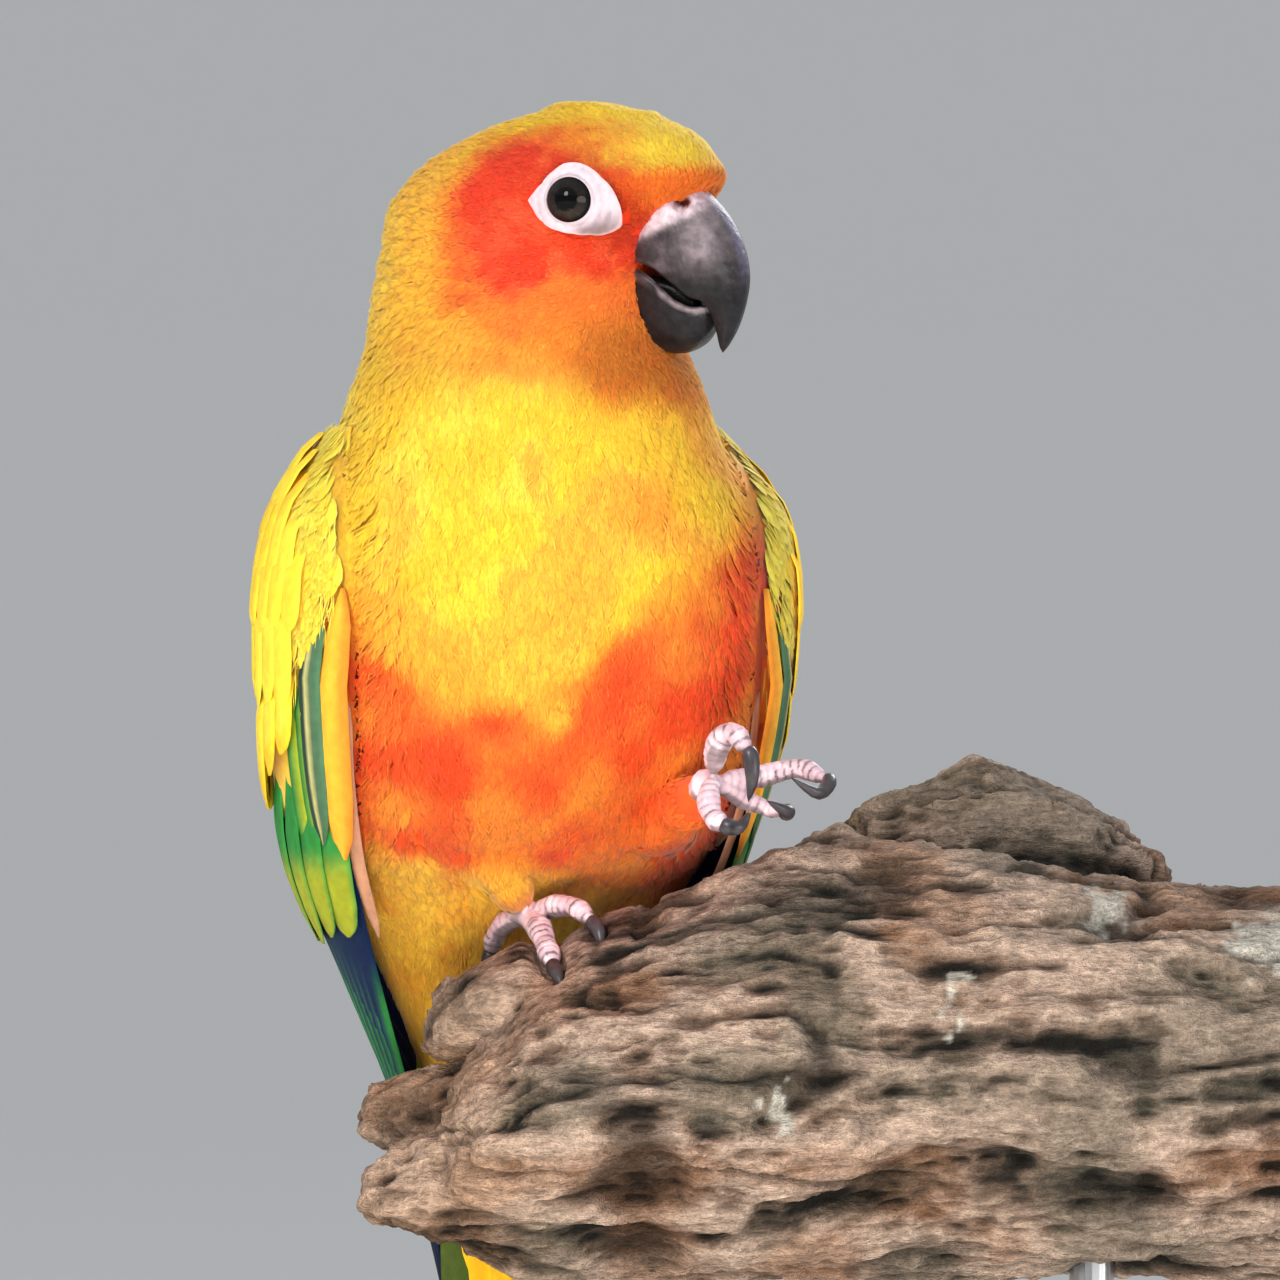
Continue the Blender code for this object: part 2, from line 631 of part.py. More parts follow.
FOOT_LEFT = {
    "root": ((5.4, -10.6, 166.8), (7.6, -17.4, 170.2), (9.8, -23.6, 172.6)),
    "toes": (
        ((9.6, -23.4, 172.6), (10.2, -26.6, 176.8), (12.3, -29.0, 178.6), (14.5, -30.6, 175.4)),
        ((9.8, -23.6, 172.8), (9.0, -26.2, 169.8), (9.8, -28.6, 167.2), (11.6, -29.8, 166.2)),
        ((9.8, -23.2, 172.4), (15.4, -18.6, 172.6), (21.2, -17.8, 173.8), (24.9, -21.2, 171.9)),
        ((9.8, -23.2, 172.2), (13.2, -20.6, 169.9), (16.6, -19.6, 168.6), (19.4, -21.4, 168.0)),
    ),
    "claws": (
        ((14.7, -31.0, 172.4), (14.2, -29.2, 169.4)),
        ((13.2, -29.8, 166.3), (14.6, -28.2, 168.4)),
        ((23.4, -24.2, 170.5), (19.8, -25.4, 172.6)),
        ((19.1, -23.6, 168.2), (16.6, -25.2, 169.6)),
    ),
    "toe_radii": (1.9, 1.75, 1.75, 1.5),
}
CLAW_RADIUS = 1.05


def rounded_path(points, steps):
    """Evenly spaced points on a smooth curve through a short list of points."""
    table = [(i, *p) for i, p in enumerate(points)]
    at = curve_through(table)
    return [Vector(at(x)) for x in np.linspace(0, len(points) - 1, steps)]


def toe(points, radius, swell=0.0):
    """A toe with its joints showing as slight swellings, rounded at both ends."""
    path = rounded_path(points, 9)
    sizes = []
    for step in range(1, 8):
        share = step / 8
        joint = 1 + 0.10 * math.cos(share * math.pi * 5)
        size = radius * (1 - 0.22 * share) * joint * (0.8 if step in (1, 7) else 1.0) + swell
        sizes.append((size, size * 0.94))
    path[0] = path[0] - (path[1] - path[0]).normalized() * swell
    path[-1] = path[-1] + (path[-1] - path[-2]).normalized() * swell
    return sweep(path, sizes, 8, Vector((0.02, 0.31, 1.0)))


def claw(toe_points, claw_points, swell=0.0):
    """A curved, pointed claw that starts just past the end of its toe."""
    ahead = (Vector(claw_points[0]) - Vector(toe_points[-1])).normalized()
    start = Vector(toe_points[-1]) + ahead * (GAP + 0.05 - swell)
    path = rounded_path([start, *claw_points], 6)
    sizes = [(CLAW_RADIUS * f + swell, CLAW_RADIUS * f * 1.1 + swell) for f in (0.92, 0.98, 0.72, 0.4)]
    path[-1] = path[-1] + (path[-1] - path[-2]).normalized() * swell
    return sweep(path, sizes, 8, Vector((0.02, 0.31, 1.0)))


def foot_pieces(foot, swell=0.0):
    """Meshes of the tarsus and toes of one foot."""
    made = [toe(points, radius, swell) for points, radius in zip(foot["toes"], foot["toe_radii"])]
    path = rounded_path(foot["root"], 6)
    sizes = [(1.9 + swell, 1.9 + swell)] * 3 + [(2.3 + swell, 2.3 + swell)]
    path[0] = path[0] - (path[1] - path[0]).normalized() * swell
    path[-1] = path[-1] + (path[-1] - path[-2]).normalized() * (0.6 + swell)
    made.append(sweep(path, sizes, 10, Vector((0.02, 0.31, 1.0))))
    return made


def make_feet(torso, finishes):
    """Two feet with two toes ahead and two behind; each claw is a node of its own."""
    for name, foot in (("right", FOOT_RIGHT), ("left", FOOT_LEFT)):
        pieces = [object_from("toe", piece, finishes["skin"]) for piece in foot_pieces(foot)]
        whole = pieces.pop()
        whole.name = f"foot_{name}"
        combine(whole, pieces, "UNION")
        if name == "right":
            clear = [object_from("clear", piece, finishes["torso"]) for piece in foot_pieces(foot, GAP)]
            combine(torso, clear, "DIFFERENCE")
        for number, points in enumerate(zip(foot["toes"], foot["claws"]), 1):
            object_from(f"claw_{name}_{number}", claw(*points), finishes["claw"])


THIGHS = {
    "right": ((-20.5, 0.0, 167.0), (-19.0, -3.6, 162.4), (-17.6, -4.4, 158.4), (-16.3, -3.0, 155.4)),
    "left": ((-1.0, 2.0, 167.5), (2.4, -4.6, 167.6), (5.2, -10.8, 168.6), (7.8, -16.8, 170.4)),
}
THIGH_RADII = (6.6, 7.6, 7.2, 6.0, 4.6, 3.4)


def make_thighs(finishes):
    """The feathered thighs below the torso, hollowed where torso and foot enter them."""
    for name, points in THIGHS.items():
        path = rounded_path(points, 8)
        sizes = [(r, r) for r in THIGH_RADII]
        thigh = object_from(f"thigh_{name}", sweep(path, sizes, 16), finishes["torso"])
        foot = FOOT_RIGHT if name == "right" else FOOT_LEFT
        tools = [object_from("clear", piece, finishes["torso"]) for piece in foot_pieces(foot, GAP)]
        tools.append(object_from("clear", swollen_torso(), finishes["torso"]))
        combine(thigh, tools, "DIFFERENCE")


def swollen_torso():
    """The torso's outline a gap further out, to clear what touches it."""
    rings = 26
    mesh_data, places = ball(BODY_SIDES, rings)
    heights = np.linspace(NECK_TOP, TAIL_CUT, rings + 1)
    for vertex, ring, angle in places:
        height = heights[ring]
        pole = ring in (0, rings)
        vertex.co = Vector((*body_at(height)[:2], height)) if pole else body_point(height, angle, GAP + 0.1)
    return mesh_data


# Along x: middle y and z, half depth, half height, and how far back the top leans.
LOG_STATIONS = (
    (-26.0, -21.0, 119.0, 10.0, 9.5, 3.0),
    (-20.0, -19.0, 124.5, 15.0, 15.0, 7.0),
    (-13.0, -17.0, 128.0, 19.0, 21.5, 11.0),
    (-5.0, -15.5, 130.5, 21.0, 24.0, 11.0),
    (8.0, -14.0, 132.4, 22.5, 25.8, 9.0),
    (21.0, -11.5, 134.8, 24.0, 28.6, 8.0),
    (34.0, -8.0, 135.0, 26.5, 28.6, 5.0),
    (50.0, -6.0, 134.0, 28.5, 27.6, 3.0),
    (70.0, -5.0, 132.8, 28.5, 26.6, 1.0),
    (100.0, -5.0, 132.0, 27.0, 26.0, 0.0),
)
LOG_END = 96.0
log_at = curve_through(LOG_STATIONS)


def weathered(place, strength=1.0):
    """Long ridges and hollows that run with the grain of the driftwood."""
    spot = Vector((place.x * 0.035, place.y * 0.11, place.z * 0.11))
    return strength * (2.4 * noise.noise(spot) + 1.0 * noise.noise(spot * 2.3 + Vector((7, 3, 1))))


def log_body():
    """The thick length of driftwood, lofted along x and sawn flat at its right end."""
    sides, rings = 20, 17
    mesh_data, places = ball(sides, rings)
    lengths = [-28.5, -26.5] + list(np.linspace(-23.0, 102.0, rings - 1))
    for vertex, ring, angle in places:
        x = lengths[ring]
        y, z, half_depth, half_height, lean = log_at(x)
        if ring in (0, rings):
            vertex.co = Vector((x, y, z))
            continue
        shrink = 0.72 if ring == 1 else 1.0
        front = math.cos(angle)
        top = math.sin(angle)
        spot = Vector((x, y - half_depth * shrink * front, z + half_height * shrink * top))
        spot.y += lean * max(0.0, top)
        outward = Vector((0, -front, top)).normalized()
        strength = 0.15 if (top > 0.5 and x < 22) else 1.0
        vertex.co = spot + outward * weathered(spot, strength)
        vertex.co.z -= 1.8 * near(spot, Vector((11.0, 6.0, 156.0)), 9.0)
    geometry = mesh_data.verts[:] + mesh_data.edges[:] + mesh_data.faces[:]
    bmesh.ops.bisect_plane(
        mesh_data, geom=geometry, plane_co=(LOG_END, 0, 0), plane_no=(1, 0, 0), clear_outer=True
    )
    rim = [edge for edge in mesh_data.edges if len(edge.link_faces) == 1]
    bmesh.ops.holes_fill(mesh_data, edges=rim, sides=0)
    return mesh_data


# Points and (half depth, half height) of the broken prongs and lobes that grow from the log.
LOG_LOBES = {
    "front_prong": (
        ((-37.0, -24.5, 116.4), (-34.0, -24.0, 116.8), (-28.0, -22.5, 117.2), (-18.0, -20.0, 119.5), (-8.0, -17.0, 122.0)),
        ((3.4, 3.6), (6.6, 7.0), (10.5, 9.6)),
    ),
    "rear_prong": (
        ((-38.4, 0.5, 126.6), (-35.5, 0.0, 127.0), (-28.0, -2.0, 127.8), (-18.0, -5.5, 128.5), (-8.0, -9.0, 129.0)),
        ((4.6, 3.9), (6.2, 5.4), (8.5, 7.5)),
    ),
    "foot_nose": (
        ((-29.2, -9.5, 136.2), (-27.0, -9.3, 137.6), (-21.5, -8.6, 141.6), (-14.0, -8.4, 144.0), (-4.0, -9.0, 146.5)),
        ((5.0, 2.6), (9.6, 5.4), (11.0, 7.2)),
    ),
    "rear_hump": (
        ((20.0, 6.0, 152.0), (32.0, 11.0, 157.0), (45.0, 15.0, 160.0), (60.0, 12.0, 156.0), (80.0, 6.0, 148.0)),
        ((9.0, 10.5), (13.0, 15.6), (12.0, 12.0)),
    ),
}


def make_perch(finishes):
    """The driftwood, grooved where the toes and claws press on it."""
    perch = object_from("perch", log_body(), finishes["wood"])
    lobes = []
    for points, sizes in LOG_LOBES.values():
        lobes.append(object_from("lobe", sweep(points, sizes, 14), finishes["wood"]))
    combine(perch, lobes, "UNION")
    tools = [object_from("clear", piece, finishes["wood"]) for piece in foot_pieces(FOOT_RIGHT, GAP)]
    for points in zip(FOOT_RIGHT["toes"], FOOT_RIGHT["claws"]):
        tools.append(object_from("clear", claw(*points, GAP), finishes["wood"]))
    for x, y in ROD_PLACES:
        tools.append(object_from("clear", rod_solid(x, y, GAP, 120.0), finishes["wood"]))
    combine(perch, tools, "DIFFERENCE")


def rod_solid(x, y, swell, top):
    mesh_data = bmesh.new()
    low = STAND_SIZE[2] + GAP
    depth = top + swell - low
    bmesh.ops.create_cone(
        mesh_data,
        cap_ends=True,
        segments=20,
        radius1=ROD_RADIUS + swell,
        radius2=ROD_RADIUS + swell,
        depth=depth,
        matrix=Matrix.Translation((x, y, low + depth / 2)),
    )
    return mesh_data


def make_stand(finishes):
    """A flat base with rounded corners and two rods that rise into the underside of the log."""
    width, depth, thickness = STAND_SIZE
    mesh_data = bmesh.new()
    bmesh.ops.create_cube(
        mesh_data, size=1.0, matrix=Matrix.Translation((0, 0, thickness / 2)) @ Matrix.Diagonal((*STAND_SIZE, 1))
    )
    upright = [e for e in mesh_data.edges if abs(e.verts[0].co.z - e.verts[1].co.z) > 1]
    bmesh.ops.bevel(
        mesh_data, geom=upright, offset=STAND_CORNER, segments=6, profile=0.5, affect="EDGES", material=-1
    )
    rim = [e for e in mesh_data.edges if min(v.co.z for v in e.verts) > thickness - 0.1]
    bmesh.ops.bevel(mesh_data, geom=rim, offset=1.2, segments=2, profile=0.5, affect="EDGES", material=-1)
    object_from("stand_base", mesh_data, finishes["stand"])
    for number, (x, y) in enumerate(ROD_PLACES, 1):
        object_from(f"stand_rod_{number}", rod_solid(x, y, 0.0, 119.0), finishes["rod"])


def main():
    for old in list(bpy.data.objects):
        bpy.data.objects.remove(old)
    finishes = {
        "head": material("head_feathers", (0.95, 0.36, 0.03)),
        "neck": material("neck_feathers", (0.95, 0.55, 0.04)),
        "torso": material("torso_feathers", (0.93, 0.42, 0.03)),
        "tail_root": material("rump_feathers", (0.80, 0.62, 0.05)),
        "wing": material("wing_feathers", (0.90, 0.75, 0.06)),
        "tail": material("tail_feathers", (0.18, 0.34, 0.08)),
        "eye": material("eye", (0.03, 0.02, 0.015), 0.1),
        "skin": material("bare_skin", (0.80, 0.66, 0.66), 0.55),
        "bill": material("bill_horn", (0.05, 0.05, 0.055), 0.35),
        "claw": material("claw_horn", (0.04, 0.04, 0.045), 0.35),
        "wood": material("driftwood", (0.36, 0.25, 0.18), 0.9),
        "stand": material("stand_base", (0.06, 0.055, 0.05), 0.4),
        "rod": material("stand_rod", (0.5, 0.5, 0.52), 0.35, 1.0),
    }
    parts = make_body(finishes)
    make_eyes(parts["head"], finishes)
    make_bill(parts["head"], finishes)
    make_wings(finishes)
    make_tail(parts["tail_root"], finishes)
    make_feet(parts["torso"], finishes)
    make_thighs(finishes)
    make_perch(finishes)
    make_stand(finishes)


main()
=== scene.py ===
# %% [markdown]
# A life-size sun conure on a driftwood perch, dressed over its imported solids. The imported model comes in first
# and stays where it is: every new piece below is made in its frame. The row has no joints, so each piece rides on
# the one body, called root. The box of the solids is kept.

# %% Loading the imported model
import math
import bmesh
import bpy
import numpy as np
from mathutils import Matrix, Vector
from mathutils.bvhtree import BVHTree


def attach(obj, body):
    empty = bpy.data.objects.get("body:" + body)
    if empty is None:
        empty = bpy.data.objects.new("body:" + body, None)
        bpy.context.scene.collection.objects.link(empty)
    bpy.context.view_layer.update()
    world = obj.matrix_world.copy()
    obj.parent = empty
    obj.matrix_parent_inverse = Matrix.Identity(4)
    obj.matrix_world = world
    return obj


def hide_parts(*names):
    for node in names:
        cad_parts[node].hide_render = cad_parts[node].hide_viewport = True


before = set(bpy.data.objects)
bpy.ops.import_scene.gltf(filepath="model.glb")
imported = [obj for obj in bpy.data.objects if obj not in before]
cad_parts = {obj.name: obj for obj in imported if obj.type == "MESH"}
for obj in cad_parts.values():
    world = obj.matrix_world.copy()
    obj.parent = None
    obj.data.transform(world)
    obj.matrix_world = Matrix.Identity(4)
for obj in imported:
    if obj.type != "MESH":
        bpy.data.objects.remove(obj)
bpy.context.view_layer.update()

chance = np.random.default_rng(20)

# %% [markdown]
# The camera stands almost two metres off with a long lens, as a bird is photographed, so the perspective is
# flat. The lens is worked out from the width of the view at the bird, 171 mm, rather than tried by eye.

# %% Camera
VIEW_WIDTH = 0.1707
CAMERA_DISTANCE = 1.8
CAMERA_HEIGHT = 0.1907
SENSOR_WIDTH = 36.0


def add_object(name, data):
    made = bpy.data.objects.new(name, data)
    bpy.context.scene.collection.objects.link(made)
    return made


camera_data = bpy.data.cameras.new("camera")
camera_data.sensor_width = SENSOR_WIDTH
camera_data.lens = SENSOR_WIDTH * CAMERA_DISTANCE / VIEW_WIDTH
camera_data.clip_start, camera_data.clip_end = 0.05, 30.0
camera = add_object("camera", camera_data)
camera.location = (0.0, -CAMERA_DISTANCE, CAMERA_HEIGHT)
camera.rotation_euler = (math.radians(90), 0, 0)
bpy.context.scene.camera = camera
print("lens", round(camera_data.lens))

# %% [markdown]
# Studio light could come from an image of a sky, but five soft area lamps are easier to reason about: a large
# key from the upper left front, a fill from the right, two low in front that keep the belly and thighs from
# going dark, as the open shade of an aviary does, and one from behind that lights the feather edges. The two
# low ones make no highlights, or the bill and the eye would shine from below. A pale world fills what they
# miss. The film-like view that Blender starts with greys out strong colours, which a parrot lives by, so the
# plain one is set.

# %% Lights
BELLY_SPOT = (-0.02, 0, 0.15)


def soft_lamp(name, place, target, size, power, colour=(1, 1, 1), highlights=True):
    lamp = bpy.data.lights.new(name, "AREA")
    lamp.shape = "DISK"
    lamp.size = size
    lamp.energy = power
    lamp.color = colour
    made = add_object(name, lamp)
    made.location = place
    made.rotation_euler = (Vector(target) - Vector(place)).to_track_quat("-Z", "Y").to_euler()
    made.visible_camera = False
    made.visible_glossy = highlights


soft_lamp("key", (-0.55, -0.95, 0.95), (0, 0, 0.19), size=0.5, power=10.6, colour=(1.0, 0.97, 0.92))
soft_lamp("fill", (0.9, -1.0, 0.22), (0, 0, 0.18), size=0.8, power=7.5, colour=(1.0, 0.98, 0.96))
soft_lamp("low", (-0.6, -1.0, 0.05), BELLY_SPOT, size=0.7, power=3.0, colour=(1.0, 0.95, 0.88), highlights=False)
soft_lamp("bounce", (-0.03, -0.27, 0.06), BELLY_SPOT, size=0.12, power=0.76, colour=(1.0, 0.92, 0.80),
          highlights=False)
soft_lamp("rim", (0.5, 0.9, 0.8), (0, 0, 0.2), size=0.6, power=7.0)
world = bpy.data.worlds.new("studio")
world.use_nodes = True
sky = world.node_tree.nodes["Background"].inputs
sky["Color"].default_value = (0.92, 0.95, 1.0, 1)
sky["Strength"].default_value = 0.7
bpy.context.scene.world = world
bpy.context.scene.view_settings.view_transform = "Standard"

# %% [markdown]
# Materials share a few effects. Mottling is one: almost nothing on an animal or on old wood has one flat
# value. It is built once as a node group with named inputs, and each material sets its own scale and range.
# The group only puts out a number between two limits; the shader stays in the material.

# %% Shared mottling
mottle = bpy.data.node_groups.new("mottle", "ShaderNodeTree")
mottle.interface.new_socket("Vector", in_out="INPUT", socket_type="NodeSocketVector")
for label, value in (("Scale", 400.0), ("Low", 0.0), ("High", 1.0), ("Harshness", 0.5)):
    mottle.interface.new_socket(label, in_out="INPUT", socket_type="NodeSocketFloat").default_value = value
mottle.interface.new_socket("Value", in_out="OUTPUT", socket_type="NodeSocketFloat")
given = mottle.nodes.new("NodeGroupInput").outputs
result = mottle.nodes.new("NodeGroupOutput").inputs
noise = mottle.nodes.new("ShaderNodeTexNoise")
noise.inputs["Detail"].default_value = 4.0
limits = mottle.nodes.new("ShaderNodeMapRange")
limits.inputs["From Min"].default_value = 0.3
limits.inputs["From Max"].default_value = 0.7
for source, goal in (
    (given["Vector"], noise.inputs["Vector"]), (given["Scale"], noise.inputs["Scale"]),
    (given["Harshness"], noise.inputs["Roughness"]), (noise.outputs["Fac"], limits.inputs["Value"]),
    (given["Low"], limits.inputs["To Min"]), (given["High"], limits.inputs["To Max"]),
    (limits.outputs["Result"], result["Value"]),
):
    mottle.links.new(source, goal)
print("group", mottle.name)

# %% [markdown]
# A few short helpers keep the material cells readable. One makes the shader and one places any node, with
# numbers or other nodes' results in its sockets. On them stand the three that nearly every finish here uses:
# mottling on the piece's own coordinates, a base colour read from its points, and a bump from a height.

# %% Material helpers
def linear(*rgb):
    """Screen colour from 0 to 255 as the linear values that a shader wants."""
    value = np.asarray(rgb, float) / 255.0
    return np.where(value <= 0.04045, value / 12.92, ((value + 0.055) / 1.055) ** 2.4)


def feed(tree, socket, value):
    """Links a socket where the value is another node's socket, or else sets it; None leaves it as it is."""
    if isinstance(value, bpy.types.NodeSocket):
        tree.links.new(value, socket)
    elif value is not None:
        socket.default_value = value


def new_material(name, roughness=0.6, **sockets):
    """A material, its node tree and its shader's sockets."""
    made = bpy.data.materials.new(name)
    made.use_nodes = True
    shader = made.node_tree.nodes["Principled BSDF"].inputs
    for label, value in {"Roughness": roughness, **sockets}.items():
        shader[label.replace("_", " ")].default_value = value
    return made, made.node_tree, shader


def add_node(tree, kind, *values, **settings):
    """A node with its settings made; the values go to its sockets in turn."""
    made = tree.nodes.new("ShaderNode" + kind)
    for label, setting in settings.items():
        setattr(made, label, setting)
    for socket, value in zip(made.inputs, values):
        feed(tree, socket, value)
    return made


def calculate(tree, operation, *values):
    return add_node(tree, "Math", *values, operation=operation).outputs[0]


def speckle(tree, scale, low, high, harshness=0.5, stretch=None, turn=0.0):
    """The shared mottling on the piece's own coordinates, drawn out by stretch where a grain runs along it."""
    where = add_node(tree, "TexCoord").outputs["Object"]
    if stretch:
        where = add_node(tree, "Mapping", where, None, (0, turn, 0), stretch).outputs["Vector"]
    return add_node(tree, "Group", where, scale, low, high, harshness, node_tree=mottle).outputs["Value"]


def painted(tree, shader, factor):
    """Base colour from the points' own colours, darker and lighter by a factor."""
    paint = add_node(tree, "Attribute", attribute_name="plumage").outputs["Color"]
    tinted = add_node(tree, "VectorMath", paint, None, None, factor, operation="SCALE")
    feed(tree, shader["Base Color"], tinted.outputs["Vector"])


def bump(tree, shader, height, strength, distance):
    made = tree.nodes.new("ShaderNodeBump")
    for label, value in (("Strength", strength), ("Distance", distance), ("Height", height)):
        feed(tree, made.inputs[label], value)
    feed(tree, shader["Normal"], made.outputs["Normal"])


print("white as a shader wants it", linear(255, 255, 255))

# %% [markdown]
# The bird's outline is a stack of level sections, each an oval with its own centre, heading, width and depth.
# It is the same table that the solids were made from, because the dressed bird must fill the same space.
# Reading it as whole arrays rather than point by point lets tens of thousands of feathers be placed in
# seconds.

# %% The outline as a function
BODY_STATIONS = (
    (102.0, -17.0, 33.0, 14, 6.3, 3.2, 3.2), (114.0, -17.7, 31.5, 14, 8.8, 4.8, 4.5),
    (124.0, -18.3, 29.6, 14, 10.3, 6.4, 5.8), (132.0, -18.7, 27.6, 14, 11.8, 9.2, 8.2),
    (140.0, -18.8, 24.8, 14, 14.6, 11.2, 10.8), (150.0, -18.3, 21.2, 14, 19.8, 13.0, 15.0),
    (156.0, -17.7, 16.6, 14, 24.0, 15.8, 18.2), (162.0, -17.1, 12.0, 14, 27.2, 22.0, 20.6),
    (172.0, -16.2, 7.0, 14, 30.4, 28.0, 24.2), (186.0, -15.5, 3.0, 14, 32.2, 30.0, 26.4),
    (200.0, -15.1, 1.0, 14, 31.8, 29.4, 26.2), (210.0, -15.0, 0.0, 14, 29.4, 27.4, 24.8),
    (218.0, -15.0, -0.5, 17, 26.2, 25.0, 23.0), (225.0, -15.0, -1.0, 28, 23.8, 23.6, 22.2),
    (231.0, -14.8, -1.2, 46, 20.8, 21.0, 22.8), (237.0, -14.0, -1.7, 59, 18.8, 18.6, 22.8),
    (243.0, -13.0, -2.2, 64, 17.5, 18.4, 22.6), (249.3, -10.9, -2.9, 65, 16.4, 22.4, 23.6),
    (252.5, -9.6, -3.5, 65, 15.5, 23.0, 22.2), (256.5, -7.7, -4.4, 65, 13.0, 19.8, 19.0),
    (260.0, -5.6, -5.4, 65, 9.2, 13.8, 13.8), (262.0, -4.4, -6.0, 65, 5.2, 7.8, 8.0),
)
WING_STATIONS = (
    (78.0, -13.6, 39.5, 14, 9.6, 6.2, 8.2), (90.0, -14.8, 37.0, 14, 10.6, 6.8, 8.8),
    (106.0, -16.2, 34.0, 14, 12.2, 8.0, 9.8), (120.0, -17.0, 30.5, 14, 14.6, 10.5, 12.0),
    (132.0, -17.6, 26.0, 14, 17.8, 14.0, 15.0), (140.0, -17.6, 22.0, 14, 21.2, 17.5, 18.0),
    (150.0, -17.4, 17.2, 14, 25.8, 22.5, 21.4), (160.0, -16.9, 11.8, 14, 30.4, 27.4, 25.0),
    (172.0, -16.2, 7.0, 14, 33.2, 30.6, 27.6), (186.0, -15.5, 3.0, 14, 34.6, 31.8, 28.8),
    (200.0, -15.1, 1.0, 14, 34.9, 31.6, 29.0), (208.0, -15.0, 0.2, 14, 33.4, 30.2, 27.8),
    (215.0, -15.0, -0.3, 14, 29.8, 27.8, 25.6), (221.0, -15.0, -0.6, 14, 26.0, 25.2, 23.6),
)
ROUNDNESS = 0.94
CROWN = 262.8


def reader(stations):
    """Smooth columns of a table as one function of height that takes whole arrays."""
    table = np.array(stations, float)
    heights, values = table[:, 0], table[:, 1:]
    slopes = np.gradient(values, heights, axis=0)
    fine = np.linspace(heights[0], heights[-1], 1601)
    i = np.clip(np.searchsorted(heights, fine, side="right") - 1, 0, len(heights) - 2)
    span = (heights[i + 1] - heights[i])[:, None]
    t = (fine - heights[i])[:, None] / span
    start, end = values[i], values[i + 1]
    rise_start, rise_end = slopes[i] * span, slopes[i + 1] * span
    cubic = 2 * start - 2 * end + rise_start + rise_end
    square = 3 * end - 3 * start - 2 * rise_start - rise_end
    curve = start + t * (rise_start + t * (square + t * cubic))
    return lambda z: [np.interp(z, fine, column) for column in curve.T]


body_at = reader(BODY_STATIONS)
wing_at = reader(WING_STATIONS)


def outline(read, z, angle, outward=0.0):
    """Points of a section stack in millimetres; angle 0 is ahead and positive angles are to the bird's left."""
    x, y, yaw, half, front, back = read(z)
    turn = np.radians(yaw)
    c, s = np.cos(angle), np.sin(angle)
    depth = np.where(c > 0, front, back)
    length = np.hypot(c / depth, s / half)
    along = np.sign(c) * np.abs(c) ** ROUNDNESS * depth + c / depth / length * outward
    across = np.sign(s) * np.abs(s) ** ROUNDNESS * half + s / half / length * outward
    px = x + np.sin(turn) * along + np.cos(turn) * across
    py = y - np.cos(turn) * along + np.sin(turn) * across
    return np.stack(np.broadcast_arrays(px, py, z), -1)


UP = np.array([0.0, 0.0, 1.0])
HEAD_TURN = math.radians(65)
HEAD_AHEAD = np.array([math.sin(HEAD_TURN), -math.cos(HEAD_TURN), 0.0])
HEAD_LEFT = np.array([math.cos(HEAD_TURN), math.sin(HEAD_TURN), 0.0])
HEAD_AXIS = np.array([-13.5, -2.2, 0.0])
EYE_HEIGHT, EYE_AHEAD, EYE_ASIDE = 248.7, 8.9, 13.6
SIDES = ((-1, "right"), (1, "left"))


def head_point(ahead, left, height):
    """Points by the head's own axes; each measure is a number or an array."""
    ahead, left, height = (np.asarray(value, float)[..., None] for value in (ahead, left, height))
    return HEAD_AXIS + HEAD_AHEAD * ahead + HEAD_LEFT * left + UP * height


def ahead_of(points):
    """How far points lie ahead of the head's upright axis."""
    return (points - HEAD_AXIS) @ HEAD_AHEAD


def eye_centre(side):
    x, y = (float(value) for value in body_at(EYE_HEIGHT)[:2])
    return np.array([x, y, EYE_HEIGHT]) + HEAD_AHEAD * EYE_AHEAD + HEAD_LEFT * (EYE_ASIDE * side)


print("width at the breast", round(2 * float(body_at(186.0)[3]), 1), "mm")

# %% [markdown]
# Noise from arrays is used for markings. It is a lattice of random numbers read with smooth steps in between,
# and it is seeded, so the bird comes out the same each time.

# %% Noise and array helpers
LATTICE = chance.random((24, 24, 24))


def cloud(points, size, shift=0.0):
    """Smooth noise from 0 to 1 at points; size is the width of its patches."""
    place = np.asarray(points) / size + shift
    cell = np.floor(place).astype(int)
    part = place - cell
    part = part * part * (3 - 2 * part)
    total = 0.0
    for corner in np.ndindex(2, 2, 2):
        weight = np.prod(np.where(np.array(corner) == 1, part, 1 - part), axis=-1)
        total = total + weight * LATTICE[tuple(((cell + corner) % 24).T)]
    return total


def step(value, low, high):
    t = np.clip((value - low) / (high - low), 0, 1)
    return t * t * (3 - 2 * t)


def unit(vectors):
    return vectors / np.maximum(np.linalg.norm(vectors, axis=-1, keepdims=True), 1e-9)


def mix(first, second, share):
    return first + (second - first) * np.asarray(share)[..., None]


def coats(colour, *layers):
    """A colour under layers of others, each given with the share of it that covers what lies below."""
    for paint, share in layers:
        colour = mix(colour, paint, share)
    return colour


def show(name, mesh, material, replaces=()):
    """Links a finished mesh as a piece of the bird that rides on the root body."""
    mesh.materials.clear()
    mesh.materials.append(material)
    piece = add_object(name, mesh)
    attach(piece, "root")
    if replaces:
        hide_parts(*replaces)


def colour_points(mesh, colours):
    layer = mesh.color_attributes.new("plumage", "FLOAT_COLOR", "POINT")
    packed = np.ones((len(mesh.vertices), 4), np.float32)
    packed[:, :3] = colours
    layer.data.foreach_set("color", packed.ravel())


def read_points(mesh, label):
    values = np.empty(len(mesh.vertices) * 3)
    mesh.vertices.foreach_get(label, values)
    return values.reshape(-1, 3)


def coordinates(mesh):
    return read_points(mesh, "co") * 1000.0


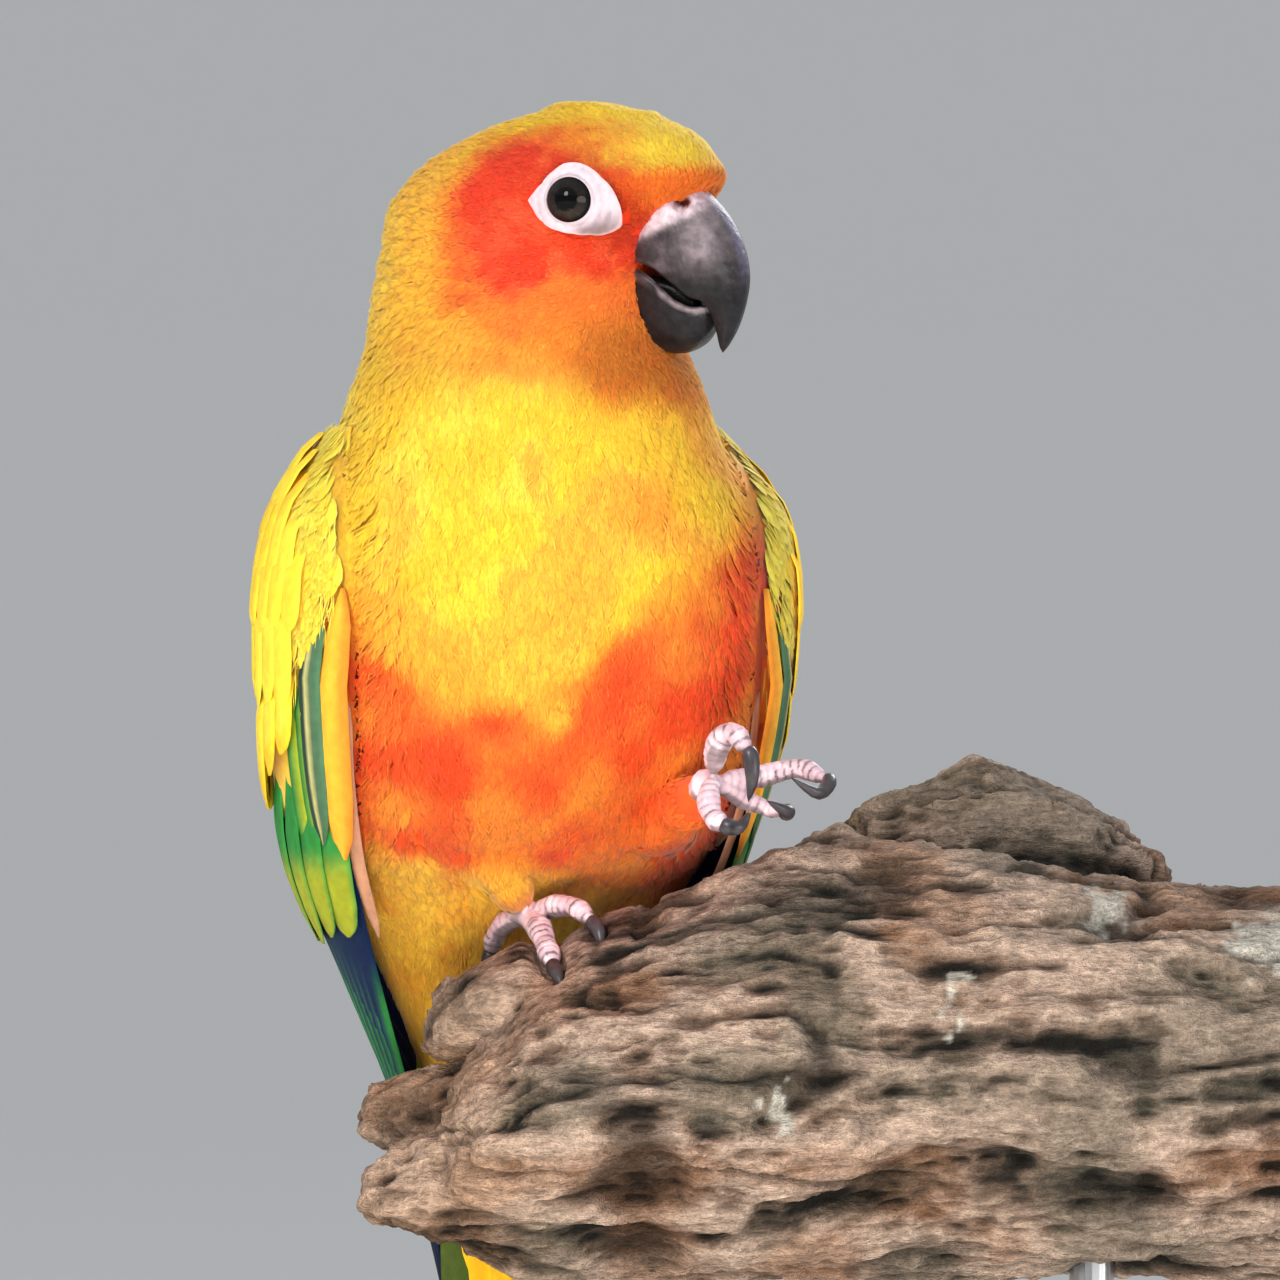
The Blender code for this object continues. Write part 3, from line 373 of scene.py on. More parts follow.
def move_points(mesh, spots):
    mesh.vertices.foreach_set("co", (np.asarray(spots, np.float32) / 1000.0).ravel())
    mesh.update()


print("noise", cloud(np.array([[1.0, 2.0, 3.0]]), 4.0).round(3))

# %% [markdown]
# The markings are one function of place, so the skin and every feather over it agree. A sun conure is golden
# on the crown, red-orange on the face, yellow on neck, upper breast and back, orange-red on the belly, and
# yellow again at the thighs. The borders are broken up with noise, because feathers of two colours grow mixed
# there.

# %% Markings of the small feathers
GOLD = linear(255, 182, 32)
FOREHEAD = linear(255, 196, 48)
YELLOW = linear(255, 186, 40)
BRIGHT_YELLOW = linear(255, 203, 58)
AMBER = linear(255, 158, 44)
ORANGE = linear(252, 122, 30)
RED = linear(240, 50, 20)
SCARLET = linear(250, 70, 35)
DEEP_RED = linear(190, 34, 8)
BELLY = linear(230, 66, 20)
BELLY_ORANGE = linear(240, 97, 30)
WING_YELLOW = linear(255, 204, 46)
WING_BRIGHT = linear(255, 226, 68)
UNDER_BILL_SHADE = linear(176, 76, 14)
OLIVE = linear(150, 160, 40)
GREEN = linear(46, 132, 58)
NAVY = linear(10, 20, 66)
VENT_GOLD = linear(255, 178, 50)
BROW_ORANGE = linear(224, 70, 12)


def body_angle(points):
    """Heading of each point round the body's own centre line, 0 ahead."""
    x, y, yaw = body_at(points[:, 2])[:3]
    turn = np.radians(yaw)
    dx, dy = points[:, 0] - x, points[:, 1] - y
    return np.arctan2(np.cos(turn) * dx + np.sin(turn) * dy, np.sin(turn) * dx - np.cos(turn) * dy)


def body_markings(points, blot, fine, broad):
    """Colours from the neck down: yellow above, orange-red below a wavy border, golden at the thighs."""
    z = points[:, 2]
    angle = body_angle(points)
    facing, aside = np.cos(angle), np.sin(angle)
    front = step(facing, -0.3, 0.3)
    # More amber lower down, where the breast grades into the belly, and more on the bird's left, the side turned
    # from the key lamp: that sideways share is painted shade.
    warmth_and_shade = 0.22 * np.clip(aside, -0.6, 1.0) + 0.10 * step(z, 208, 194)
    flank = step(aside + 1.2 * broad, 0.15, 0.85) * step(z, 222, 204)
    flank = np.maximum(flank, step(-aside + 0.8 * broad, 0.45, 0.95) * step(z, 204, 192))
    off_middle = points[:, 0] + 17.0
    border = 185.0 + np.minimum(np.where(off_middle < 0, 0.017, 0.019) * off_middle ** 2, 20.0)
    below = step(z + 13 * broad + 7 * blot, border + 4, border - 4) * step(facing, -0.35, 0.1)
    patch = cloud(points, 6.5, 17.0) - 0.5
    belly = coats(
        BELLY_ORANGE,
        (BELLY, step(patch + 0.4 * blot, -0.12, 0.16)),
        (AMBER, 0.35 * step(patch, -0.1, -0.28)),
        (RED, 0.35 * step(np.abs(z - border + 8 + 10 * broad), 7, 2)),
    )
    vent = step(z + 6 * blot + 0.16 * (points[:, 0] + 20), 163, 156)
    back = step(-facing, 0.2, 0.7) * step(z, 226, 212)
    return coats(
        YELLOW,
        (BRIGHT_YELLOW, step(blot + broad, -0.2, 0.3)),
        (AMBER, 0.85 * front * step(broad + 0.5 * blot + warmth_and_shade, -0.12, 0.18)),
        (ORANGE, 0.75 * front * flank),
        (belly, below),
        (mix(VENT_GOLD, AMBER, step(blot, -0.1, 0.4)), 0.95 * vent),
        (OLIVE, 0.8 * step(z, 122, 112)),
        (ORANGE, 0.3 * back * step(broad + fine, 0.1, 0.35)),
    )


def head_markings(points, blot, fine):
    """Colours of the head: golden crown, red face fading over orange, and a red-brown painted shadow on the chin
    under the bill.
    """
    z = points[:, 2]
    ahead = ahead_of(points)
    lower = step(z + 4 * blot, 241, 234)
    cheek = mix(AMBER, ORANGE, 0.62 + 0.38 * step(blot + fine, -0.2, 0.3))
    along = (ahead - 7.0) / np.where(ahead > 7.0, 13.5, 11.5)
    up = (z - 245.0) / np.where(z > 245.0, 11.0, 11.0 - 3.8 * step(ahead, 3, 11))
    reach = np.hypot(along, up) + 0.5 * blot + 0.2 * fine
    wide_reach = np.hypot(along, (z - 245.0) / 11.0) + 0.5 * blot + 0.2 * fine
    over_brow = np.maximum(z - 250.4 - 0.10 * np.abs(ahead - 14), 0)
    brow = np.exp(-(over_brow / 1.6) ** 2) * step(ahead, 6, 12) * step(z, 243, 247)
    lores = step(np.hypot((ahead - 16.6) / 3.4, (z - 246.6) / 4.6), 1.15, 0.6)
    chin = step(z, 236, 230) * step(ahead, 9, 15)
    return coats(
        YELLOW,
        (AMBER, 0.8 * step(ahead + 8 * blot, -22, -8)),
        (cheek, lower * step(ahead + 6 * blot, -4, 5)),
        (GOLD, step(z + 3 * blot, 251, 256) * step(ahead, -10, 0)),
        (FOREHEAD, step(z + 3 * blot, 251.5, 255) * step(ahead + 8 * blot, 8, 13)),
        (mix(ORANGE, SCARLET, 0.4), step(wide_reach, 1.45, 0.95) * step(ahead, 21, 17)),
        (mix(RED, SCARLET, step(blot + fine, -0.2, 0.3)), step(reach, 1.12, 0.74)),
        (BROW_ORANGE, 0.85 * brow),
        (DEEP_RED, 0.7 * lores),
        # Red-brown just under the lower bill: painted shadow of the bill on the chin.
        (UNDER_BILL_SHADE, 0.7 * chin * step(z, 217, 223)),
    )


def markings(points):
    """Plumage colour in linear values at points given in millimetres."""
    points = np.asarray(points, float)
    blot = cloud(points, 5.0) - 0.5
    fine = cloud(points, 1.8, 9.0) - 0.5
    broad = cloud(points, 11.0, 3.0) - 0.5
    neck = step(points[:, 2] + 6 * blot + 5 * step(ahead_of(points), 8, 18), 221, 231)
    colour = mix(body_markings(points, blot, fine, broad), head_markings(points, blot, fine), neck)
    return colour * (1 + 0.10 * fine + 0.08 * blot)[:, None]


print("breast", markings(np.array([[-10.0, -28.0, 205.0]])).round(2))

# %% [markdown]
# Closed forms start as a sphere of rings whose points are then moved. The body, the eyes and the bill are
# shaped from the sphere directly. A tube, such as a thigh, a claw or the tongue, has its rings set along a
# smooth path. Modifiers weld, remesh and smooth what needs it.

# %% Shaping helpers
TUBE_SIDES = 24


def through(points, count):
    """Evenly spaced points on a smooth curve through a few given ones."""
    read = reader([(i, *p) for i, p in enumerate(points)])
    return np.stack(read(np.linspace(0, len(points) - 1, count)), -1)


def ball(sides, rings):
    """A sphere, and for each of its points the ring, the angle round the axis and the place."""
    shape = bmesh.new()
    bmesh.ops.create_uvsphere(shape, u_segments=sides, v_segments=rings, radius=1.0)
    spots = np.array([v.co for v in shape.verts])
    ring = np.rint(np.arccos(np.clip(spots[:, 2], -1, 1)) / math.pi * rings).astype(int)
    return shape, ring, np.arctan2(spots[:, 1], spots[:, 0]), spots


def set_points(shape, spots):
    """Moves a shape's points, given in millimetres, and turns its faces outwards."""
    for vertex, spot in zip(shape.verts, np.asarray(spots) / 1000.0):
        vertex.co = spot
    shape.normal_update()
    bmesh.ops.recalc_face_normals(shape, faces=shape.faces[:])


def tube(path, widths, across=1.0, tall=1.0):
    """A closed tube along a path; widths has half a width for each inner point, scaled across and in height."""
    path = np.asarray(path, float)
    shape, ring, angle, _ = ball(TUBE_SIDES, len(path) - 1)
    ahead = unit(np.gradient(path, axis=0))
    up = np.array([0.02, 0.31, 1.0])
    spots = np.empty((len(ring), 3))
    for i, width in enumerate((0, *widths, 0)):
        aside = unit(np.cross(ahead[i], up))
        up = unit(np.cross(aside, ahead[i]))
        here = ring == i
        spots[here] = (path[i] + np.outer(np.cos(angle[here]) * (width * across), aside)
                       + np.outer(np.sin(angle[here]) * (width * tall), up))
    set_points(shape, spots)
    return shape


def applied(mesh, *steps):
    """Runs modifiers given as (kind, settings) on a mesh and returns the result."""
    carrier = add_object("carrier", mesh)
    for kind, settings in steps:
        change = carrier.modifiers.new(kind, kind)
        for label, value in settings.items():
            setattr(change, label, value)
    graph = bpy.context.evaluated_depsgraph_get()
    made = bpy.data.meshes.new_from_object(carrier.evaluated_get(graph), depsgraph=graph)
    bpy.data.objects.remove(carrier)
    return made


def remeshed(mesh, voxel, smooth):
    """A mesh welded into one even closed surface; voxel is its fineness in metres."""
    return applied(mesh, ("REMESH", {"mode": "VOXEL", "voxel_size": voxel, "use_smooth_shade": True}),
                   ("SMOOTH", {"factor": 0.5, "iterations": smooth}))


def mesh_of(*shapes):
    """Joins finished bmeshes into one smooth mesh."""
    whole = bmesh.new()
    for shape in shapes:
        part = bpy.data.meshes.new("part")
        shape.to_mesh(part)
        shape.free()
        whole.from_mesh(part)
    mesh = bpy.data.meshes.new("joined")
    whole.to_mesh(mesh)
    whole.free()
    mesh.shade_smooth()
    return mesh


print("a tube has", TUBE_SIDES, "sides")

# %% [markdown]
# Under the feathers lies one skin for head, neck, body and thighs, so that no seam shows where the solids
# part. The body starts as a sphere of many rings whose points move onto the outline, and each thigh is a
# swept cone. A voxel remesh then welds them into one closed surface, and it is drawn in by the depth of the
# coat.

# %% One skin
SKIN_DEPTH = 1.2
THIGHS = {
    "right": ((-20.5, 0.0, 167.0), (-19.0, -3.6, 162.4), (-17.6, -4.4, 158.4), (-16.3, -3.0, 155.4)),
    "left": ((-1.0, 2.0, 167.5), (2.4, -4.6, 167.6), (5.2, -10.8, 168.6), (7.8, -16.8, 170.4)),
}
THIGH_RADII = (5.6, 6.6, 6.2, 5.0, 3.7, 2.6)
BODY_RINGS, CAP_RINGS = 190, 40
CAP_DEPTH = 9.0
BODY_FOOT = 101.0
body, ring, angle, _ = ball(120, BODY_RINGS)
cap = CROWN - CAP_DEPTH * np.linspace(0, 1, CAP_RINGS + 1) ** 1.9
heights = np.concatenate([cap, np.linspace(CROWN - CAP_DEPTH, BODY_FOOT, BODY_RINGS - CAP_RINGS + 1)[1:]])
spots = outline(body_at, heights[ring], angle)
for pole in (0, BODY_RINGS):
    spots[ring == pole] = [*(float(value) for value in body_at(heights[pole])[:2]), heights[pole]]
set_points(body, spots)
legs = [tube(through(points, 8), THIGH_RADII) for points in THIGHS.values()]
skin_mesh = remeshed(mesh_of(body, *legs), 0.0009, 6)
spots = coordinates(skin_mesh)
forehead = step(ahead_of(spots), 8, 15) * step(spots[:, 2], 251, 256)
depth = SKIN_DEPTH - 0.3 * step(spots[:, 2], 226, 240) + 1.2 * forehead
colour_points(skin_mesh, markings(spots))
move_points(skin_mesh, spots - read_points(skin_mesh, "normal") * depth[:, None])
print("skin", len(skin_mesh.polygons), "faces")

# %% [markdown]
# Feathers get their colour from a point attribute, the same for all of them. The finest barbs are too many to
# model, so a fine noise stands for them in the bump. A little sheen gives the soft outline that a plumage has
# against the light.

# %% Feather and skin material
def plumage_material(name, rough_low, rough_high, grain, strength):
    made, tree, shader = new_material(
        name, Specular_IOR_Level=0.2, Sheen_Weight=0.12, Sheen_Roughness=0.5,
        Subsurface_Weight=0.4, Subsurface_Scale=0.0012, Subsurface_Radius=(1.0, 0.5, 0.2))
    speck = speckle(tree, grain, 0.92, 1.1)
    painted(tree, shader, speck)
    feed(tree, shader["Roughness"], speckle(tree, grain * 0.5, rough_low, rough_high))
    bump(tree, shader, speck, strength, 0.0003)
    return made


feather_material = plumage_material("small_feathers", 0.5, 0.75, grain=1800.0, strength=0.25)
skin_material = plumage_material("feathered_skin", 0.7, 0.85, grain=900.0, strength=0.3)
show("skin", skin_mesh, skin_material, ["head", "neck", "torso", "thigh_left", "thigh_right"])
print("materials", feather_material.name, skin_material.name)

# %% [markdown]
# The eye is the part that gives the bird its life, so it gets its own pieces. The eyeball is one glossy
# sphere, with pupil and iris painted by their distance from its axis. Round it lies the bare, pale ring of
# skin with a raised lid edge and fine creases.

# %% Eyeballs
EYE_RADIUS = 3.6
PUPIL, IRIS = 1.45, 2.4


def by_eye(side, x, y, out):
    """Points by the eye's own axes: ahead, up and out of the head."""
    outward = unit(HEAD_LEFT * side + HEAD_AHEAD * 0.16 + UP * 0.02)
    ahead = unit(HEAD_AHEAD - outward * (HEAD_AHEAD @ outward))
    return eye_centre(side) + np.outer(x, ahead) + np.outer(y, UP) + np.outer(out, outward)


def eyeball(side):
    shape, _, angle, spots = ball(72, 72)
    x, y, out = (spots * EYE_RADIUS).T
    gap = np.hypot(x, y)
    out = out + 0.25 * np.exp(-(gap / 1.9) ** 2) * (out > 0)
    set_points(shape, by_eye(side, x, y, out))
    mesh = mesh_of(shape)
    rays = cloud(np.stack([np.cos(angle) * 9, np.sin(angle) * 9, gap * 1.2], -1), 1.0)
    low_side = step(-y, -1.0, 2.4)
    iris = mix(linear(18, 15, 14), linear(56, 48, 42), (0.2 + 0.6 * low_side) * rays)
    colour_points(mesh, coats(linear(2, 2, 2), (iris, step(gap, PUPIL, PUPIL + 0.3)),
                              (linear(12, 11, 12), step(gap, IRIS, IRIS + 0.35))))
    return mesh


eye_material, tree, shader = new_material("eye", 0.05, Coat_Weight=0.15, Coat_Roughness=0.02,
                                          Specular_IOR_Level=0.1)
painted(tree, shader, speckle(tree, 2500.0, 0.9, 1.1))
for side, label in SIDES:
    show(f"eyeball_{label}", eyeball(side), eye_material, [f"eye_{label}"])
print("eyes at", eye_centre(-1).round(1), eye_centre(1).round(1))

# %% [markdown]
# The ring is a flattened sphere whose axis points out of the eye. Its inner part dips under the eyeball, then
# a small roll makes the lid edge, and from there it slopes out to the boundary that keeps the feathers off.
# Folds run round it, deepest below the eye on the bill's side.

# %% Bare ring and lids
OPENING = 2.95
LID_SHARE = 0.3
RING_BORDER = (
    # heading in degrees from straight ahead, distance from the middle of the eye
    (0, 6.4), (10, 6.0), (35, 5.15), (60, 5.05), (75, 5.05), (90, 4.95), (100, 4.9), (120, 4.45), (150, 4.4),
    (168, 5.1), (180, 5.9), (192, 5.3), (222, 4.75), (250, 4.35), (275, 4.45), (300, 5.3), (312, 6.3), (333, 7.7),
    (348, 7.0),
)


def eye_reach(x, y):
    """1 on the border of the bare ring, which has a corner behind the eye and a creased one low in front."""
    heading = np.degrees(np.arctan2(y, x)) % 360
    border = np.interp(heading, *zip(*RING_BORDER), period=360)
    return np.hypot(x, y) / border


def eye_ring(side):
    shape, _, angle, spots = ball(112, 88)
    polar = np.arccos(np.clip(spots[:, 2], -1, 1)) / (math.pi / 2)
    c, s = np.cos(angle), np.sin(angle)
    rim = 1 / eye_reach(c, s)
    out = np.clip(polar, 0, 1)
    across = np.clip((out - LID_SHARE) / (1 - LID_SHARE), 0, 1)
    far = np.where(out < LID_SHARE, step(out, 0.0, LID_SHARE) * OPENING, OPENING + (rim - OPENING) * across)
    under = np.clip(polar - 1, 0, 1)
    x, y = far * c * (1 - under), far * s * (1 - under)
    ball_height = np.sqrt(np.maximum(EYE_RADIUS ** 2 - far ** 2, 0))
    lid = 0.32 * np.exp(-((across - 0.08) / 0.08) ** 2)
    fall = 2.05 - 1.35 * np.clip((far - OPENING) / 4.3, 0, 1.1) ** 1.1
    lower_front = step(c, -0.1, 0.6) * step(-s, 0.1, 0.7)
    fold = np.sin(far * 5.2 + 1.2 * np.sin(angle * 2 + 1)) * step(across, 0.12, 0.3) * step(across, 1.0, 0.8)
    crease = (0.035 + 0.14 * lower_front) * fold
    crease = crease + 0.10 * (cloud(np.stack([x, y, x * 0], -1), 0.6) - 0.5) * step(across, 0.1, 0.3)
    high = np.where(out < LID_SHARE, ball_height - 0.45, fall + lid + crease)
    high = np.where(polar > 1, 0.5 - 1.0 * step(under, 0, 0.3), high)
    set_points(shape, by_eye(side, x, y, high))
    mesh = mesh_of(shape)
    colour_points(mesh, coats(
        linear(200, 184, 192),
        # Darker lilac in the hollows of the folds: painted shade.
        (linear(168, 152, 168), np.clip(-crease * 7, 0, 0.8)),
        # Darker and pinker low in front of the eye, under its bulge: painted shade.
        (linear(116, 96, 96), 0.9 * lower_front * step(across, 0.2, 0.7)),
        (linear(96, 86, 98), 0.85 * step(across, 0.07, 0.0)),
        (linear(224, 168, 160), 0.5 * step(across, 0.85, 1.0)),
    ))
    return mesh


def bare_material(name, low, high, grain, strength, roughness=0.5, **sockets):
    """Skin, scales or horn, in the colours of their points."""
    made, tree, shader = new_material(name, roughness, **{"Specular_IOR_Level": 0.4, **sockets})
    speck = speckle(tree, grain, low, high)
    painted(tree, shader, speck)
    bump(tree, shader, speck, strength, 0.0002)
    return made


ring_material = bare_material("eye_ring_skin", 0.88, 1.06, grain=1500.0, strength=0.35)
for side, label in SIDES:
    show(f"ring_{label}", eye_ring(side), ring_material, [f"eye_ring_{label}"])
print("rings made")

# %% [markdown]
# The bill is horn. The upper half is lofted from the culmen to the cutting edge, hooked well over the lower
# half, and a soft cere with the nostrils sits on its root. Each half is a sphere's rings moved onto bill
# sections: an arch outside, hollowed inside from cutting edge to cutting edge. A dark tongue fills the open
# gape.

# %% Bill
UPPER_BILL = (
    (17.0, 251.5, 15.6, 241.0, 5.4), (20.4, 251.6, 17.2, 240.6, 6.3), (24.0, 250.2, 19.3, 239.8, 6.4),
    (27.4, 247.3, 21.6, 237.9, 6.0), (29.6, 243.4, 23.8, 236.0, 5.2), (30.5, 239.4, 25.5, 235.4, 4.2),
    (30.2, 235.6, 26.3, 233.9, 3.0), (29.2, 232.2, 26.7, 231.5, 1.8), (27.9, 229.8, 26.8, 229.6, 0.8),
    (27.0, 228.7, 27.0, 228.7, 0.02),
)
LOWER_BILL = (
    # ahead, underside, rim, half width
    (13.6, 232.6, 236.6, 2.0), (15.2, 230.6, 239.6, 4.3), (17.2, 229.4, 239.6, 5.2), (19.0, 228.9, 238.6, 5.4),
    (20.8, 228.7, 237.0, 5.3), (22.4, 229.0, 235.6, 4.9), (24.0, 229.8, 234.8, 4.0), (25.2, 231.0, 234.8, 2.9),
    (26.0, 232.6, 234.9, 1.7), (26.3, 234.0, 234.6, 0.02),
)
NOSTRIL_AHEAD, NOSTRIL_HEIGHT = 23.0, 248.5
TONGUE_WIDTHS = (0.7, 0.95, 1, 1, 1, 1, 0.97, 0.9, 0.8, 0.6)


def bill_piece(table, sides, rings, section):
    """A mesh lofted from a table of sections, with its points' places on the head."""
    shape, ring, angle, _ = ball(sides, rings)
    read = reader([(i, *row) for i, row in enumerate(table)])
    ahead, left, height = section(read(ring / rings * (len(table) - 1)), angle)
    first, second = ring == 0, ring == 1
    ahead[first], left[first], height[first] = ahead[second].mean() - 0.3, 0.0, height[second].mean()
    set_points(shape, head_point(ahead, left, height))
    return mesh_of(shape), head_point(ahead, left, height), ahead, left, height


def from_level(angle):
    """0 on either side of a section, 1 at its top and at its underside."""
    turn = np.abs(angle)
    return np.clip(np.where(turn > math.pi / 2, math.pi - turn, turn) * 2 / math.pi, 0, 1)


def upper_section(values, angle):
    top_u, top_z, low_u, low_z, width = values
    rise = np.sin(angle)
    below = np.where(rise > 0, 0, from_level(angle))
    edge = np.clip(below / 0.6, 0, 1)
    inside = np.clip((below - 0.6) / 0.4, 0, 1)
    lift = np.where(rise > 0, rise, -edge + 0.22 * np.sin(inside * math.pi / 2))
    u = (top_u + low_u) / 2 + (top_u - low_u) / 2 * lift
    z = (top_z + low_z) / 2 + (top_z - low_z) / 2 * lift
    c = np.cos(angle)
    sideways = np.where(rise > 0, c * (1 - 0.22 * rise ** 2), np.sign(c) * (1 - 0.14 * edge ** 2))
    v = width * sideways * (1 - inside ** 1.5)
    cere = np.exp(-((u - 22.0) / 3.0) ** 2) * step(z, 245.0, 248.5)
    v = v * (1 + 0.13 * cere)
    z = z + 0.6 * cere * np.maximum(rise, 0)
    for side, _ in SIDES:
        gap = np.sqrt(((u - NOSTRIL_AHEAD) / 1.15) ** 2 + (v - 4.9 * side) ** 2 * 0.5 + (z - NOSTRIL_HEIGHT) ** 2)
        v = v - side * 1.7 * np.exp(-(gap / 0.8) ** 2)
    return u, v, z


def lower_section(values, angle):
    mid_u, low, rim, width = values
    drop, c = np.sin(angle), np.cos(angle)
    above = np.where(drop > 0, from_level(angle), 0)
    v = np.sign(c) * np.where(drop > 0, 1 - above ** 1.4, np.abs(c) ** 0.75)
    z = np.where(drop > 0, rim - 0.3 * (rim - low) * np.sin(above * math.pi / 2), rim + (rim - low) * drop)
    return mid_u + 0.0 * angle, width * v, z


upper_mesh, points, ahead, left, height = bill_piece(UPPER_BILL, 72, 90, upper_section)
lower_mesh, lower_points, lower_ahead, lower_left, lower_height = bill_piece(LOWER_BILL, 64, 60, lower_section)
print("bill length", round(float(np.hypot(30.5 - 20.4, 251.6 - 228.7)), 1), "mm")

# %% [markdown]
# Horn is dark grey, flaked and scratched, and darker low on the bill, partly its own colour and partly painted
# shade. A painted highlight lies on the bend in front, a painted bluish reflection runs along the culmen, and the
# cere above is pale with dark red nostrils. Each of these is a layer of colour on the points, with noise to break
# up its border, so that no texture has to be wrapped round the bill.

# %% Colours of the bill
blot = cloud(points, 2.4)
lines = cloud(np.stack([ahead * 0.3, left * 0.25, height], -1), 0.55, 2.0)
scratch = cloud(np.stack([ahead * 0.5, left * 0.3, height * 1.6], -1), 0.8, 12.0)
light = np.exp(-((ahead - 25.9) / 2.0) ** 2 - ((height - 243.6) / 4.2) ** 2)
culmen = step(np.abs(left), 2.0, 1.0) * step(height, 236, 243)
cere = step(height - (245.0 + 0.42 * (ahead - 21.0)), -0.6, 1.0) * step(ahead + blot, 27.4, 24.6)
horn = coats(
    linear(18, 17, 19),
    (linear(96, 88, 93), 0.3 * blot + 0.35 * lines + 0.6 * (scratch - 0.3) * step(scratch, 0.4, 0.7)),
    (linear(142, 130, 136), 0.85 * light * (0.4 + 0.9 * cloud(points, 1.3, 6.0))),
    # Darker low on the upper bill: partly the horn's own colour, partly painted shade.
    (linear(22, 22, 25), 0.92 * step(height + 1.5 * blot, 242.5, 237.5)),
    # Bluish along the culmen: painted reflection.
    (linear(104, 100, 128), 0.6 * culmen),
    (mix(linear(176, 158, 168), linear(222, 206, 216), 0.6), cere * (0.7 + 0.3 * blot)),
)
for side, _ in SIDES:
    gap = np.sqrt(((ahead - NOSTRIL_AHEAD) / 1.2) ** 2 + (left - 4.2 * side) ** 2 * 0.4
                  + (height - NOSTRIL_HEIGHT) ** 2)
    horn = coats(horn, (linear(84, 30, 28), step(gap, 1.25, 0.75)), (linear(30, 10, 10), step(gap, 0.7, 0.35)))
colour_points(upper_mesh, horn)
rim_at = reader([(row[0], row[2]) for row in LOWER_BILL])
near_rim = np.abs(lower_height - rim_at(lower_ahead)[0] + 0.5)
colour_points(lower_mesh, coats(
    linear(16, 15, 17),
    (linear(42, 39, 42), 0.6 * cloud(lower_points, 1.6)),
    (linear(150, 134, 140),
     0.75 * step(near_rim + 0.5 * cloud(lower_points, 1.1), 0.9, 0.3) * step(np.abs(lower_left), 1.0, 2.0)),
))
horn_material = bare_material("bill_horn", 0.7, 1.25, grain=1000.0, strength=0.8, roughness=0.38,
                              Coat_Weight=0.08, Coat_Roughness=0.25, Specular_IOR_Level=0.2)
tongue_ahead, tongue_height = zip((14.0, 235.5), (17.0, 237.0), (20.0, 236.6), (22.6, 235.0), (23.6, 234.0))
tongue_line = head_point(tongue_ahead, 0.0, tongue_height)
tongue_mesh = mesh_of(tube(through(tongue_line, 12), TONGUE_WIDTHS, across=3.0, tall=1.9))
colour_points(tongue_mesh, linear(20, 17, 19))
show("upper_bill", upper_mesh, horn_material, ["bill_upper"])
show("lower_bill", lower_mesh, horn_material, ["bill_lower"])
show("tongue", tongue_mesh, horn_material)
print("points of the bill", len(points) + len(lower_points))

# %% [markdown]
# Each small feather is a thin closed leaf of three ridged sides that lies on the skin and rises towards its
# tip. Particle hair would be quicker, but it isn't mesh and doesn't leave Blender with the model. Here whole
# arrays of feathers walk over the skin together: at each step along its length a feather is dropped back on
# the nearest skin, so it bends with the body. Thousands of sharp little faces would look like scales, so the
# shading normals of a feather are turned most of the way towards those of the skin under it, and the coat is
# lit as one soft form.

# %% Walking feathers over a surface
# places along a feather, its width at each, and how far its edges bend down
LEAF = ((0.0, 0.3, 0.62, 0.86, 1.0), (0.5, 0.95, 1.0, 0.62, 0.0), 0.05)
BARB = ((0.0, 0.55, 1.0), (0.8, 1.0, 0.0), 0.25)
PATCH = 0.003


def surface_of(mesh):
    """Functions that find the nearest points and smooth normals of a mesh, and sow feathers on it."""
    mesh.calc_loop_triangles()
    corners = np.empty(len(mesh.loop_triangles) * 3, np.int32)
    mesh.loop_triangles.foreach_get("vertices", corners)
    corners = corners.reshape(-1, 3)
    spots, normals = coordinates(mesh), read_points(mesh, "normal")
    tree = BVHTree.FromPolygons(spots.tolist(), corners.tolist())

    def settle(points):
        hits = [tree.find_nearest(p) for p in points.tolist()]
        places = np.array([hit[0] for hit in hits])
        faces = corners[[hit[2] for hit in hits]]
        gap = np.linalg.norm(spots[faces] - places[:, None], axis=-1)
        return places, unit((normals[faces] * (1 / (gap + 0.05))[..., None]).sum(1))

    def sow(density):
        """Random places on the surface; density gives how many grow on a square millimetre at each."""
        a, b, c = spots[corners[:, 0]], spots[corners[:, 1]], spots[corners[:, 2]]
        area = np.linalg.norm(np.cross(b - a, c - a), axis=1) / 2
        edges = np.concatenate([[0], np.cumsum(area * density((a + b + c) / 3))])
        count = int(edges[-1])
        ticks = (np.arange(count) + chance.random(count)) / count * edges[-1]
        pick = np.clip(np.searchsorted(edges, ticks, side="right") - 1, 0, len(area) - 1)
        s, t = chance.random(count), chance.random(count)
        over = s + t > 1
        s[over], t[over] = 1 - s[over], 1 - t[over]
        return a[pick] + (b - a)[pick] * s[:, None] + (c - a)[pick] * t[:, None]

    return settle, sow


def along_surface(lie, normal):
    return unit(lie - normal * (lie * normal).sum(1, keepdims=True))


